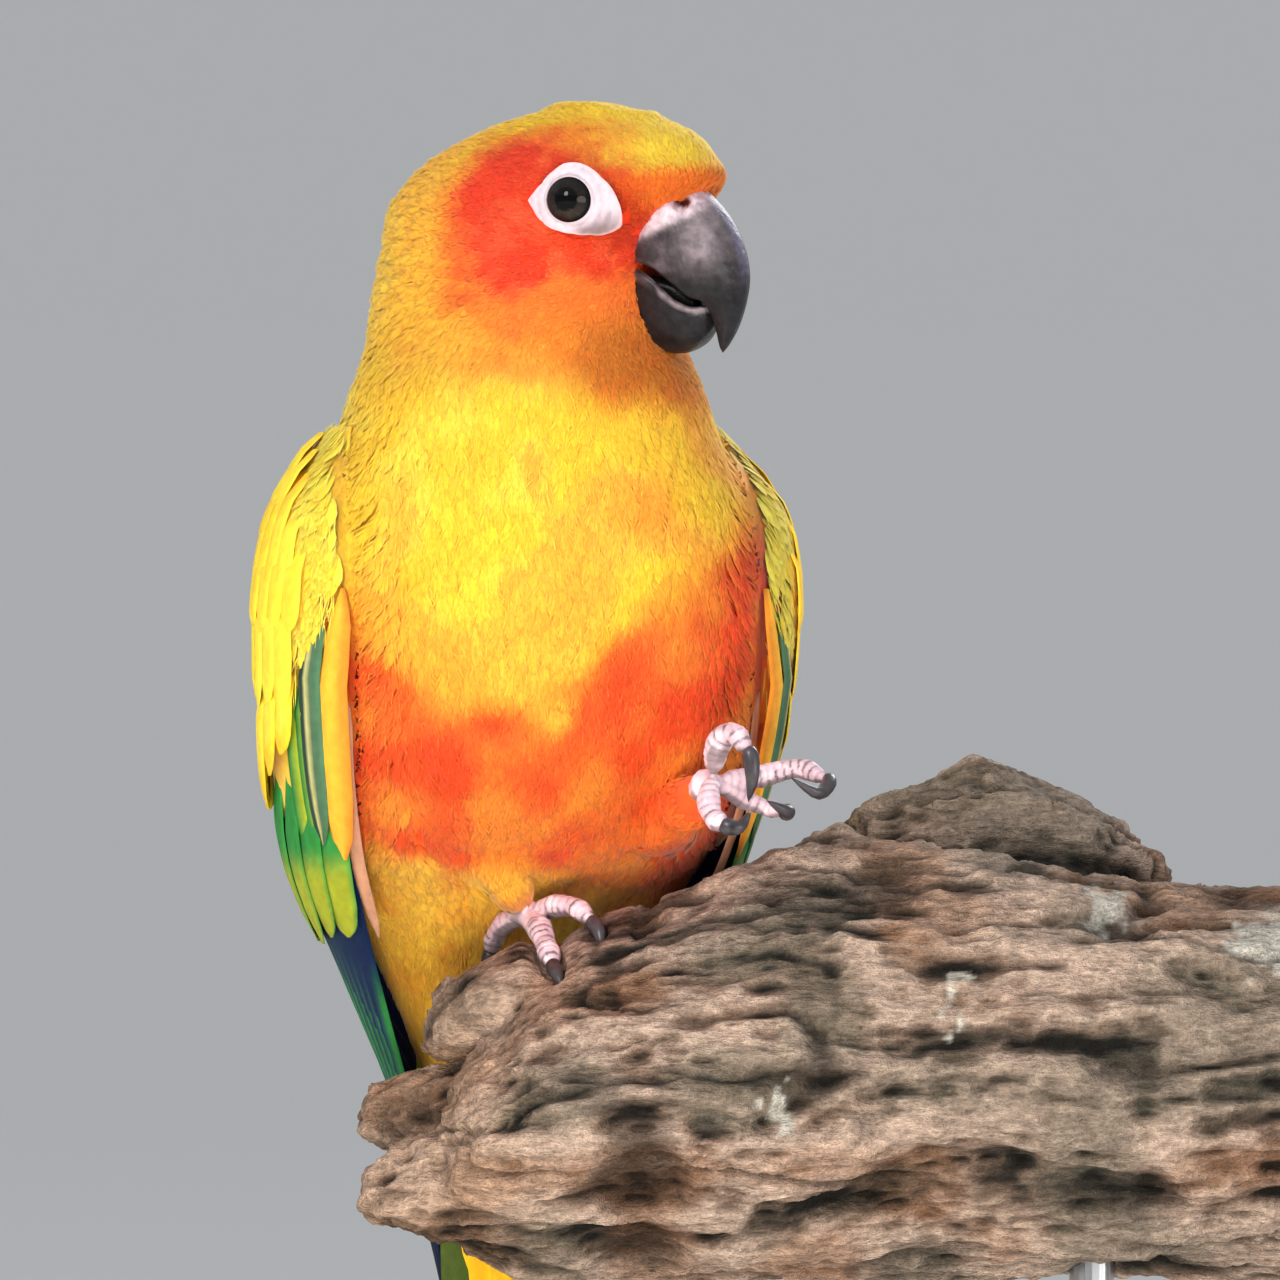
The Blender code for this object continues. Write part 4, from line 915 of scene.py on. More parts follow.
def walk(settle, roots, lie, length, width, low, high, kind):
    """Rings of three points for every feather up to its single tip point, and the surface's normals there."""
    steps, shape, bend = kind
    place, normal = settle(roots)
    heading = along_surface(lie, normal)
    rings, leans, before = [], [], 0.0
    for at, wide in zip(steps, shape):
        if at > 0:
            place, normal = settle(place + heading * ((at - before) * length)[:, None])
            heading = along_surface(heading, normal)
        before = at
        middle = place + normal * (low + (high - low) * at ** 0.8)[:, None]
        leans += [normal[:, None]] * (1 if wide == 0.0 else 3)
        if wide == 0.0:
            rings.append(middle[:, None])
            continue
        aside = np.cross(normal, heading) * (width * wide / 2)[:, None]
        drop = normal * (width * wide * bend)[:, None]
        thick = normal * (0.03 + 0.05 * width * wide)[:, None]
        rings.append(np.stack([middle - aside - drop, middle + thick, middle + aside - drop], 1))
    return np.stack([np.concatenate(rings, 1), np.concatenate(leans, 1)])


print("points in a leaf", 3 * len(LEAF[0]) - 2, "and in a barb", 3 * len(BARB[0]) - 2)

# %% [markdown]
# All feathers of one piece become one mesh, written as whole arrays because an operator for each of a hundred
# thousand leaves would take hours. Each leaf gets a small patch of its own on the map that a baked copy uses.

# %% Meshes of many feathers
def leaf_faces(rings):
    """Triangles of one feather made of rings of three points and a tip."""
    faces = [(0, 1, 2)]
    for start in range(0, 3 * (rings - 1), 3):
        for k in range(3):
            a, b = start + k, start + (k + 1) % 3
            faces += [(a, a + 3, b), (b, a + 3, b + 3)]
    last, tip = 3 * (rings - 1), 3 * rings
    faces += [(last + k, tip, last + (k + 1) % 3) for k in range(3)]
    return np.array(faces)


def unwrap_body(points):
    """Place of a root on the skin unrolled round the bird, from 0.02 to 0.98."""
    around = body_angle(points) / (2 * math.pi) + 0.5
    up = (points[:, 2] - 70.0) / (CROWN - 70.0)
    return np.stack([0.02 + 0.96 * around, 0.02 + 0.96 * up], -1)


def joined_feathers(name, feathers, kind, colours, roots, softness=0.7):
    """One piece from many feathers; softness turns its shading normals towards the skin's."""
    points, leans = feathers
    count, each = points.shape[:2]
    faces = (leaf_faces(each // 3)[None] + np.arange(count)[:, None, None] * each).reshape(-1, 3)
    mesh = bpy.data.meshes.new(name)
    mesh.vertices.add(count * each)
    mesh.loops.add(faces.size)
    mesh.polygons.add(len(faces))
    mesh.vertices.foreach_set("co", (points.reshape(-1, 3) / 1000.0).astype(np.float32).ravel())
    mesh.loops.foreach_set("vertex_index", faces.ravel().astype(np.int32))
    mesh.polygons.foreach_set("loop_start", np.arange(0, faces.size, 3, dtype=np.int32))
    mesh.update(calc_edges=True)
    mesh.shade_smooth()
    colour_points(mesh, np.clip(colours, 0, 1).reshape(-1, 3))
    across = np.array([-0.5, 0.0, 0.5] * (each // 3) + [0.0])
    along = np.append(np.repeat(kind[0][:-1], 3), 1.0)
    flat = unwrap_body(roots)[:, None] + PATCH * np.stack([across, along - 0.5], -1)[None]
    bake_map = mesh.uv_layers.new(name="OFBake")
    bake_map.data.foreach_set("uv", flat.reshape(-1, 2)[faces.ravel()].astype(np.float32).ravel())
    own = read_points(mesh, "normal")
    mesh.normals_split_custom_set_from_vertices(unit(mix(own, leans.reshape(-1, 3), softness)))
    show(name, mesh, feather_material)


def leaf_colours(places, heading, length, kind, own, base, tip):
    """Colour of each point of each feather: the marking where it lies, darker at its hidden root."""
    steps = kind[0]
    parts = []
    for at in steps:
        seen = markings(places + heading * (at * length * 0.6)[:, None])
        colour = seen * own[:, None] * (base + (tip - base) * at)
        edge = np.array([1.0]) if at == steps[-1] else np.array([0.98, 1.02, 0.98])
        parts.append(colour[:, None] * edge[None, :, None])
    return np.concatenate(parts, 1)


settle_skin, sow_skin = surface_of(skin_mesh)
print("triangles in a leaf", len(leaf_faces(4)), "and in a barb", len(leaf_faces(2)))

# %% [markdown]
# Feathers run away from the bill over the head and down the neck and body. They are smallest on the face and
# largest on the breast. Where the bare ring round the eye or the bill comes through, none grow.

# %% Where small feathers grow and how they lie
BILL_ROOT = head_point(19.0, 0.0, 243.0)
LEADING = ((140, 84), (150, 66), (162, 58), (175, 55), (190, 55), (203, 60), (211, 68), (219, 84))
TRAILING = ((160, 166), (175, 158), (190, 146), (205, 130), (213, 118), (219, 104))
FOLD_COVER = 16.0


def wing_front(z):
    return np.interp(z, *zip(*LEADING))


def wing_back(z):
    return np.interp(z, *zip(*TRAILING))


def past_front(points):
    """Degrees round the body from the folded wing's front edge."""
    return np.degrees(np.abs(body_angle(points))) - wing_front(points[:, 2])


def body_centre(points):
    """The middle of the body level with each point."""
    return np.stack([*body_at(points[:, 2])[:2], points[:, 2]], -1)


def lie_at(points):
    """Direction in which a feather lies: away from the bill on the head, down the body below."""
    share = step(points[:, 2], 222, 240)[:, None]
    lie = unit(unit(points - BILL_ROOT) * share - UP * (1 - share))
    for path, wide in ((THIGHS["right"], 10.0), (THIGHS["left"], 7.0)):
        ends = np.array(path)
        near = step(np.linalg.norm(points - ends[-1], axis=1), wide, wide * 0.5)[:, None]
        lie = unit(lie * (1 - near) + unit(ends[-1] - ends[0]) * near)
    sway = (cloud(points, 6.0, 13.0) - 0.5)[:, None]
    return unit(lie + np.cross(lie, unit(points - body_centre(points))) * sway * 0.3)


def eye_gap(points):
    """The ring's own measure for points of the head, large elsewhere."""
    least = np.full(len(points), 9.0)
    for side in (-1, 1):
        offset = points - eye_centre(side)
        gap = eye_reach(offset @ HEAD_AHEAD, offset[:, 2])
        gap[(offset @ HEAD_LEFT) * side < -6] = 9.0
        least = np.minimum(least, gap)
    return least


bill_tree = BVHTree.FromPolygons(
    np.concatenate([coordinates(upper_mesh), coordinates(lower_mesh)]).tolist(),
    [tuple(p.vertices) for p in upper_mesh.polygons]
    + [tuple(v + len(upper_mesh.vertices) for v in p.vertices) for p in lower_mesh.polygons],
)


def on_bill(points):
    """True well inside the bill; nearer its edge feathers may start, so that they cover the rim of the skin."""
    found = np.zeros(len(points), bool)
    near = np.linalg.norm(points - head_point(21.0, 0.0, 241.0), axis=1) < 17.0
    for i in np.flatnonzero(near):
        place, normal, _, gap = bill_tree.find_nearest(Vector(points[i]))
        found[i] = gap > 0.9 and (Vector(points[i]) - place).dot(normal) < 0
    return found


def small_size(points):
    """Length of a small feather in millimetres by its place."""
    z = points[:, 2]
    ahead = ahead_of(points)
    size = 2.5 + 2.4 * step(z, 240, 208)
    size = size + 1.2 * step(-ahead, -4, 12) * step(z, 226, 238)
    size = np.where((z > 226) & (ahead > 4), np.minimum(size, 2.4), size)
    near_eye = step(eye_gap(points), 2.4, 1.0)
    return size * (1 - 0.45 * near_eye) * (1 - 0.2 * step(z, 150, 120))


def growing(points):
    """1 where small feathers grow, 0 on bare places and where the folded wing hides the skin."""
    z = points[:, 2]
    turn = np.degrees(np.abs(body_angle(points)))
    under = (turn > wing_front(z) + FOLD_COVER) & (turn < wing_back(z) - FOLD_COVER) & (z > 168) & (z < 211)
    return np.where((eye_gap(points) < 0.95) | on_bill(points) | under, 0.0, 1.0)


print("sizes on face and breast", small_size(np.array([[-4.0, -16.0, 243.0], [-10.0, -28.0, 190.0]])).round(1))

# %% [markdown]
# A small feather has a shaft with soft barbs on both sides that stand apart towards its edge. A broad leaf
# makes the closed cover, and a fan of thin barbs over each leaf gives the loose edge that makes a breast look
# soft. The feathers are shared out in pieces by height. Just ahead of the folded wing they stand a little
# higher and point outwards, because a perched bird's flank feathers lap over the front of its wing.

# %% Broad small feathers with their barbs
NECK_TOP, NECK_FOOT = 229.0, 208.0
BANDS = (("head_top", 246.0, 270.0), ("head_low", NECK_TOP, 246.0), ("neck", NECK_FOOT, NECK_TOP),
         ("breast", 184.0, NECK_FOOT), ("belly", 150.0, 184.0), ("vent", 90.0, 150.0))
FAN = ((0.10, 28, 0.62), (0.34, 20, 0.60), (0.56, 11, 0.50))  # place on the shaft, angle, length
HEAD_FAN = ((0.14, 24, 0.62), (0.45, 14, 0.52))
SINK = 0.12
PIECE_LIMIT = 195000


def height_over(at, loft):
    return -SINK + (loft + SINK) * np.clip(at, 0, 1) ** 0.8


def barb_fan(settle, roots, lie, size, loft, fan):
    """Roots, headings, lengths and heights of all barbs of all feathers, one row each."""
    place, normal = settle(roots)
    heading = along_surface(lie, normal)
    aside = np.cross(normal, heading)
    rows = []
    for at, spread, reach in (*fan, (0.5, 0, 0.5)):
        for side in ((-1, 1) if spread else (1,)):
            turn = np.radians(spread) * side + chance.normal(0, 0.07, len(roots))
            go = heading * np.cos(turn)[:, None] + aside * np.sin(turn)[:, None]
            length = size * reach * chance.uniform(0.8, 1.15, len(roots))
            low = height_over(at, loft) + 0.05
            high = height_over(at + reach, loft) + 0.05 + chance.uniform(0.0, 0.5, len(roots)) ** 2
            rows.append((place + heading * (at * size)[:, None], go, length, low, high))
    return [np.concatenate(column) for column in zip(*rows)]


def share_out(name, feathers, kind, colours, roots):
    """Splits feathers at random over pieces that each stay under the limit of triangles."""
    triangles = len(roots) * len(leaf_faces(feathers.shape[2] // 3))
    shares = math.ceil(triangles / PIECE_LIMIT)
    order = chance.permutation(len(roots))
    for part in range(shares):
        pick = order[part::shares]
        joined_feathers(f"{name}_{part + 1}", feathers[:, pick], kind, colours[pick], roots[pick])
    return triangles


def share_of_cover(points):
    """How often the leaves lie over each other; the larger feathers need more to hide their edges."""
    return 9.5 + 3.5 * step(points[:, 2], 240, 215)


def beside_wing(points):
    """1 in the strip just ahead of the folded wing, where feathers lap over the wing's front rim."""
    z, past = points[:, 2], past_front(points)
    return step(past, -15, -6) * step(past, 8, 3) * step(z, 158, 166) * step(z, 222, 215)


def outwards(points):
    """Level direction along the skin away from the middle of the breast."""
    angle = body_angle(points)
    further = outline(body_at, points[:, 2], angle + 0.05 * np.sign(angle))
    return unit(further - outline(body_at, points[:, 2], angle))


total = 0
for band, bottom, top in BANDS:
    def density(points):
        inside = (points[:, 2] >= bottom) & (points[:, 2] < top)
        return np.where(inside, growing(points) * share_of_cover(points) / small_size(points) ** 2, 0.0)

    on_head = bottom >= NECK_TOP
    fan, barb_width = (HEAD_FAN, 0.085) if on_head else (FAN, 0.062)
    roots = sow_skin(density)
    size = small_size(roots) * chance.uniform(0.8, 1.15, len(roots))
    lie = unit(lie_at(roots) + chance.normal(0, 0.10, roots.shape))
    nape = step(-ahead_of(roots), 4, 12) * step(roots[:, 2], 212, 220)
    loft = (0.12 + 0.04 * size) * (1 + 1.6 * nape * chance.random(len(roots)))
    lapping = beside_wing(roots)
    lie = unit(lie + 0.45 * lapping[:, None] * outwards(roots))
    loft = loft + 1.3 * lapping
    own = 1 + 0.06 * chance.normal(0, 1, len(roots))
    wide = size * (0.48 - 0.10 * step(roots[:, 2], 235, 215))
    leaves = walk(settle_skin, roots, lie, size, wide, np.full(len(roots), -SINK), loft, LEAF)
    colours = leaf_colours(roots, lie, size, LEAF, own, 0.97, 1.0)
    made = share_out(f"{band}_leaves", leaves, LEAF, colours, roots)
    starts, go, length, low, high = barb_fan(settle_skin, roots, lie, size, loft, fan)
    copies = len(starts) // len(roots)
    own = np.tile(own, copies) * (1 + 0.05 * chance.normal(0, 1, len(starts)))
    barbs = walk(settle_skin, starts, go, length, np.tile(size, copies) * barb_width, low, high, BARB)
    colours = leaf_colours(starts, go, length, BARB, own, 0.97, 1.04)
    made += share_out(f"{band}_barbs", barbs, BARB, colours, np.tile(roots, (copies, 1)))
    total += made
    print(band, len(roots), "feathers", made, "triangles")
print("small feathers", total, "triangles")

# %% [markdown]
# Where a leg leaves the belly, the feathers end in a short cuff that hangs over the bare foot. They lie on a
# small cone round the leg, which closes on it and stays as their skin, so that no hollow shows between
# feathers and foot.

# %% Feathered cuffs
LEGS = {
    "right": ((-18.6, -3.6, 161.4), (-17.0, -3.7, 157.4), (-15.9, -2.2, 154.6)),
    "left": ((5.2, -10.8, 168.6), (7.4, -15.8, 169.8), (9.0, -20.6, 171.4)),
}
CUFF_RADII = {"right": (1.6, 2.6, 3.0, 2.8, 2.3, 1.7), "left": (3.7, 3.6, 3.3, 2.9, 2.5, 2.1)}
CUFF_REACH = {"right": 5.4, "left": 3.6}


def lit_as_body(feathers):
    """The same feathers with the normals of the body under them, so that they are lit as part of it."""
    points = feathers[0]
    return np.stack([points, settle_skin(points.reshape(-1, 3))[1].reshape(points.shape)])


for label, path in LEGS.items():
    cone = mesh_of(tube(through(path, 8), CUFF_RADII[label]))
    settle_cone, sow_cone = surface_of(cone)
    start, ahead = np.array(path[0]), unit(np.subtract(path[-1], path[0]))
    reach = CUFF_REACH[label]
    roots = sow_cone(lambda points: 3.6 * step((points - start) @ ahead, reach, reach - 1.6))
    lie = ahead + chance.normal(0, 0.12, roots.shape)
    size = chance.uniform(2.2, 3.4, len(roots))
    level = np.ones(len(roots))
    leaves = lit_as_body(walk(settle_cone, roots, lie, size, size * 0.3, level * -0.1, level * 0.2, LEAF))
    own = 1 + 0.08 * chance.normal(0, 1, len(roots))
    colours = leaf_colours(roots, lie, size, LEAF, own, 0.95, 1.0)
    joined_feathers(f"cuff_{label}", leaves, LEAF, colours, roots, 0.6)
    colour_points(cone, markings(coordinates(cone)))
    show(f"cuff_{label}_skin", cone, skin_material)
    print("cuff", label, len(roots), "feathers")

# %% [markdown]
# Flight and tail feathers are long vanes: a stiff shaft with a web on either side, cupped a little, the edges
# thin. A vane is a flat grid, thickened by extruding it, whose points then move onto the folded wing. The map
# that runs along the vane lets the material draw the slanted barbs on both webs.

# %% Vanes
# place along the vane, share of its full width
VANE_OUTLINE = (
    (0.0, 0.1), (0.06, 0.5), (0.14, 0.8), (0.3, 0.96), (0.6, 1.0), (0.8, 0.92), (0.92, 0.68), (0.975, 0.40),
    (1.0, 0.10),
)


def vane_grid(columns, rows):
    """A closed thin sheet: across from -1 to 1, along from 0 to 1, which points are on top, and its faces."""
    shape = bmesh.new()
    bmesh.ops.create_grid(shape, x_segments=columns, y_segments=rows, size=1.0)
    made = bmesh.ops.extrude_face_region(shape, geom=shape.faces[:])
    top = {item for item in made["geom"] if isinstance(item, bmesh.types.BMVert)}
    shape.verts.index_update()
    across = np.array([v.co.x for v in shape.verts])
    along = np.array([(v.co.y + 1) / 2 for v in shape.verts])
    on_top = np.array([v in top for v in shape.verts])
    faces = [[v.index for v in f.verts] for f in shape.faces]
    shape.free()
    return across, along, on_top, np.array(faces)


def vane_reach(grid, width):
    """How far aside each point of a vane lies from its shaft."""
    across, along = grid[:2]
    return across * width / 2 * np.interp(along, *zip(*VANE_OUTLINE))


def vane_rise(grid, cup, cup_ends, shaft, edge, web):
    """How high each point stands: a cupped vane, a raised shaft, and thin edges with more in the middle."""
    across, along, on_top, _ = grid
    middle = 1 - across ** 2
    cupped = cup * middle * step(along, 1.0, cup_ends) + 0.10 * np.exp(-(across / shaft) ** 2)
    return cupped + np.where(on_top, 0.5, -0.5) * (edge + web * middle)


def sheet_mesh(name, points, faces):
    """A smooth mesh from a sheet's moved points, its faces turned outwards."""
    mesh = bpy.data.meshes.new(name)
    mesh.from_pydata((points / 1000.0).tolist(), [], faces.tolist())
    shape = bmesh.new()
    shape.from_mesh(mesh)
    bmesh.ops.recalc_face_normals(shape, faces=shape.faces[:])
    shape.to_mesh(mesh)
    shape.free()
    mesh.shade_smooth()
    return mesh


def add_map(mesh, name, places):
    layer = mesh.uv_layers.new(name=name)
    layer.data.foreach_set("uv", np.stack(places, -1).astype(np.float32).ravel())


def join_vanes(name, vanes, grid, columns, replaces=()):
    """One piece from vanes given as (points, colours); each has its own rectangle on the map for baking."""
    across, along, on_top, faces = grid
    count, each = len(vanes), len(across)
    every = (faces[None] + np.arange(count)[:, None, None] * each).reshape(-1, 4)
    mesh = sheet_mesh(name, np.concatenate([points for points, _ in vanes]), every)
    colour_points(mesh, np.clip(np.concatenate([colours for _, colours in vanes]), 0, 1))
    loops = np.empty(len(mesh.loops), np.int32)
    mesh.loops.foreach_get("vertex_index", loops)
    which, inside = loops // each, loops % each
    u = (which % columns + 0.05 + 0.43 * (across[inside] + 1) * 0.5 + 0.47 * on_top[inside]) / columns
    v = (which // columns + 0.05 + 0.9 * along[inside]) / math.ceil(count / columns)
    add_map(mesh, "OFBake", (u, v))
    add_map(mesh, "web", (across[inside], along[inside]))
    show(name, mesh, vane_material, replaces)


GRID_LARGE = vane_grid(8, 26)
GRID_SMALL = vane_grid(6, 14)
print("triangles in a large vane", 2 * len(GRID_LARGE[3]))

# %% [markdown]
# The vane material reads the map along the feather. A wave slanted away from the shaft gives the barbs,
# mirrored on the two webs by taking the distance from the shaft. Mottling breaks it up, and both shade and
# lift the web.

# %% Vane material
BARB_SLANT = -0.16
BARBS_ALONG = 420.0
vane_material, tree, shader = new_material("vanes", 0.62, Specular_IOR_Level=0.12)
web = add_node(tree, "UVMap", uv_map="web").outputs["UV"]
across, along = add_node(tree, "SeparateXYZ", web).outputs[:2]
slant = calculate(tree, "MULTIPLY_ADD", calculate(tree, "ABSOLUTE", across), BARB_SLANT, along)
wave = calculate(tree, "SINE", calculate(tree, "MULTIPLY", slant, BARBS_ALONG))
relief = calculate(tree, "MULTIPLY_ADD", wave, 0.3, speckle(tree, 700.0, 0.0, 1.0))
bump(tree, shader, relief, 0.35, 0.0002)
painted(tree, shader, add_node(tree, "MapRange", relief, -0.4, 1.3, 0.8, 1.12).outputs["Result"])
print("material", vane_material.name)

# %% [markdown]
# A folded wing is a stack of tiers. The primaries lie deepest and reach furthest back, then the secondaries,
# then row upon row of coverts like roof tiles, each overlapping the next. Every tier is a row of vanes
# between a line of roots and a line of tips, both given as height and angle round the body.

# %% Feathers of a folded wing
def wing_vane(side, root, tip, width, lifts, tilt, grid, sweep=1.0):
    along = grid[1]
    height = root[0] + (tip[0] - root[0]) * along
    angle = np.radians(root[1] + (tip[1] - root[1]) * along ** sweep)
    _, _, _, half, front, back = wing_at(height)
    depth = np.where(np.cos(angle) > 0, front, back)
    reach = vane_reach(grid, width)
    angle = angle + reach / np.hypot(half * np.sin(angle), depth * np.cos(angle))
    lift = np.interp(along, (0.0, 0.35, 1.0), lifts) - reach * tilt
    return outline(wing_at, height, side * angle, lift + vane_rise(grid, 0.45, 0.8, 0.10, 0.10, 0.22))


def web_colour(along, across, base, outer, tip, tip_from, edge=None):
    """Vane colour: one for the hidden web, one for the outer web and one towards the tip."""
    tip_share = step(along, tip_from, min(1.0, tip_from + 0.25))
    colour = coats(base, (outer, step(across, -0.25, 0.1)), (tip, tip_share))
    return colour if edge is None else mix(colour, edge, 0.85 * step(np.abs(across), 0.72, 0.95))


def streaked(points, colours, amount):
    """Fine streaks along a vane, so that its webs aren't flat."""
    streak = cloud(points * np.array([1.0, 1.0, 0.25]), 0.8, 5.0) - 0.5
    return points, colours * (1 + amount * streak)[:, None]


print("points in a covert", len(GRID_SMALL[0]))

# %% [markdown]
# Most of what shows of the closed wing is its long flight feathers: eleven primaries, dark blue with a green
# edge, that reach past the body, and nine secondaries over them, green with a yellow-green tip.

# %% Flight feathers
TEAL = linear(22, 84, 92)
BLACKISH = linear(10, 16, 34)
YELLOW_GREEN = linear(168, 172, 38)
DARK_GREEN = linear(22, 70, 40)
PRIMARIES, SECONDARIES = 11, 9


def flight_tier(side):
    """Primaries and secondaries of one wing, as (points, colours)."""
    across, along = GRID_LARGE[:2]
    made = []
    for share in np.linspace(0, 1, PRIMARIES):
        root, tip = (171.0, 59 + 46 * share), (86 + 40 * share ** 1.3, 121 + 50 * share)
        lifts = (-1.4, -1.9 + 0.3 * share, -1.3 + 2.3 * share)
        colour = web_colour(along, -across, NAVY, mix(NAVY, TEAL, 0.08 + 0.3 * share), BLACKISH, 0.6)
        green_edge = step(-across, 0.35, 0.75) * step(along, 0.28, 0.36) * step(along, 0.62, 0.5)
        points = wing_vane(side, root, tip, 7.4, lifts, 0.12, GRID_LARGE, 1.3)
        made.append((points, mix(colour, GREEN, 0.9 * green_edge)))
    for share in np.linspace(0, 1, SECONDARIES):
        low = 151.0 - 4.0 * step(share, 0, 0.35) + 8.5 * share
        root, tip = (172 + 4 * share, 63 + 82 * share), (low, 68 + 91 * share)
        points = wing_vane(side, root, tip, 9.6, (-1.0, -0.35, -0.05), 0.13, GRID_LARGE)
        tip_colour = mix(YELLOW_GREEN, OLIVE, 0.4 + 0.3 * share)
        tones = web_colour(along, -across, mix(GREEN, DARK_GREEN, 0.4), GREEN, tip_colour, 0.42, GREEN)
        made.append((points, tones))
    return made


print("flight feathers of a wing", PRIMARIES + SECONDARIES)

# %% [markdown]
# Over the roots of the flight feathers lie the coverts, yellow and smaller row by row up to the shoulder.
# Five long ones hang along the front edge. Each has its own place, width and colour, because they frame the
# wing from ahead.

# %% Coverts
CREAM = linear(240, 230, 150)
GREY_GREEN = linear(78, 116, 84)
TAN = linear(206, 150, 120)
DARK_GREY_GREEN = linear(44, 70, 62)
GREAT_COVERTS = 9
FRONT_COVERTS = (
    # root and tip as (height, angle), width, lift, colour, edge
    ((184.0, 58.0), (151.0, 57.0), 3.4, -1.2, TAN, TAN * 0.7),
    ((197.5, 58.6), (161.5, 58.0), 6.6, 0.9, linear(250, 186, 56), linear(206, 120, 38)),
    ((198.0, 66.5), (163.5, 65.2), 5.6, 1.0, DARK_GREY_GREEN, GREY_GREEN),
    ((191.0, 71.5), (163.0, 70.0), 4.6, 0.3, GREEN, YELLOW_GREEN),
    ((190.0, 76.0), (161.0, 75.5), 5.2, 0.2, GREEN, YELLOW_GREEN),
)
COVERT_ROWS = (
    # highest root, highest tip, number, width, lift, angle of the first
    (199.6, 181.5, 9, 8.8, 0.9, 79), (205.0, 191.5, 9, 7.4, 1.0, 74), (209.5, 197.0, 8, 6.8, 0.9, 78),
    (213.0, 202.5, 7, 6.0, 0.8, 84), (216.0, 207.5, 6, 5.4, 0.7, 90), (218.0, 211.5, 5, 4.6, 0.5, 96),
)


def covert_tier(side):
    """The coverts of one wing, row over row like roof tiles."""
    across, along = GRID_SMALL[:2]
    made = []
    for root, tip, width, lift, colour, edge in FRONT_COVERTS:
        points = wing_vane(side, root, tip, width, (-2.0, lift, lift - 0.5), 0.08, GRID_SMALL)
        tones = web_colour(along, -across, colour * 0.9, colour, colour, 0.9, edge)
        # Towards the body side each front covert takes its edge colour: on the tan one and the yellow strip that
        # darker tone is painted shade from the gap between wing and belly, and on the green ones it is their own
        # paler edge.
        tones = mix(tones, edge, 0.8 * step(-across, -0.2, 0.8))
        if colour is DARK_GREY_GREEN:
            streak = np.exp(-((across + 0.05) / 0.16) ** 2) * step(along, 0.1, 0.3)
            tones = mix(tones, CREAM * 0.8, 0.85 * streak)
        made.append((points, tones))
    for share in np.linspace(0, 1, GREAT_COVERTS):
        root, tip = (187.3, 79 + 66 * share), (175.5 - 9.0 * step(share, 0, 0.3) + 4.0 * share, 80 + 75 * share)
        points = wing_vane(side, root, tip, 9.0, (-0.6, 0.7, 0.95), 0.14, GRID_SMALL)
        tones = web_colour(along, -across, WING_YELLOW, WING_BRIGHT, WING_YELLOW, 0.6, WING_YELLOW * 0.9)
        made.append((points, tones))
    for top, low, number, width, lift, first in COVERT_ROWS:
        last = np.interp(top, (199, 218), (138, 106))
        for share in np.linspace(0, 1, number):
            root = (top + chance.uniform(-0.4, 0.4), first + (last - first) * share)
            tip = (low + 2.5 * share + chance.uniform(-0.7, 0.7), first - 1 + (last - first + 8) * share)
            points = wing_vane(side, root, tip, width, (-0.6, lift, lift + 0.35), 0.12, GRID_SMALL)
            tone = mix(WING_YELLOW, WING_BRIGHT, chance.uniform(0.3, 1))
            tone = mix(tone, AMBER, 0.3 * max(0.0, chance.normal(0, 0.5)))
            made.append((points, web_colour(along, -across, tone * 0.9, tone, tone * 1.05, 0.7)))
    return made


for side, label in SIDES:
    flight = [streaked(*vane, 0.4) for vane in flight_tier(side)]
    join_vanes(f"wing_{label}_flight", flight, GRID_LARGE, 9, [f"wing_{label}"])
    coverts = [streaked(*vane, 0.3) for vane in covert_tier(side)]
    join_vanes(f"wing_{label}_coverts", coverts, GRID_SMALL, 9)
    print("wing", label, len(flight), "flight feathers", len(coverts), "coverts")

# %% [markdown]
# Under the coverts the folded arm fills the wing. It is a closed sheet between the body and the coverts.
# Broad leaves cover its shoulder like the lesser coverts of a bird, more of them in the body's colours line
# its front edge, and fine barbs lie over all, so that the shoulder looks as soft as the neck above it.

# %% Folded arm and its fine feathers
ARM_FOOT, ARM_HEIGHT = 163.0, 56.0
ARM_GRID = vane_grid(24, 40)


def arm(side):
    across, along, on_top, faces = ARM_GRID
    height = ARM_FOOT + ARM_HEIGHT * along
    lead, trail = wing_front(height), wing_back(height)
    angle = np.radians(lead + (trail - lead) * (across + 1) / 2)
    inner = outline(body_at, height, side * angle, -0.4)
    outer = outline(wing_at, height, side * angle, -0.25)
    rim = step(1 - np.abs(across), 0, 0.3) * step(1 - along, 0, 0.25) * step(along, 0, 0.1)
    points = np.where(on_top[:, None], inner + (outer - inner) * (0.1 + 0.9 * rim)[:, None], inner)
    mesh = sheet_mesh("arm", points, faces)
    past = np.degrees(angle) - lead
    colour_points(mesh, np.clip(mix(WING_YELLOW * 0.8, markings(points), step(past, 12, 6)), 0, 1))
    return mesh


def outside(points):
    """True on the arm's outer face, above the coverts' lowest row."""
    turned = outline(wing_at, points[:, 2], body_angle(points), -2.2)
    centre = body_centre(points)
    far = np.linalg.norm(points - centre, axis=1) > np.linalg.norm(turned - centre, axis=1)
    return far & (points[:, 2] > 180)


def barb_density(points):
    return np.where(outside(points), 2.2 * step(points[:, 2], 180, 205), 0.0)


def leaf_density(points):
    """Broad leaves on the shoulder, and more of them along the arm's front edge."""
    z, past, out = points[:, 2], past_front(points), outside(points)
    shoulder = step(past, 46, 30) * step(z, 190, 197) * step(z, 216, 212) * out
    return np.maximum(1.7 * shoulder, 3.4 * step(past, 7, 3) * ~out)


def wing_tones(count):
    return mix(WING_YELLOW, WING_BRIGHT, chance.random(count))


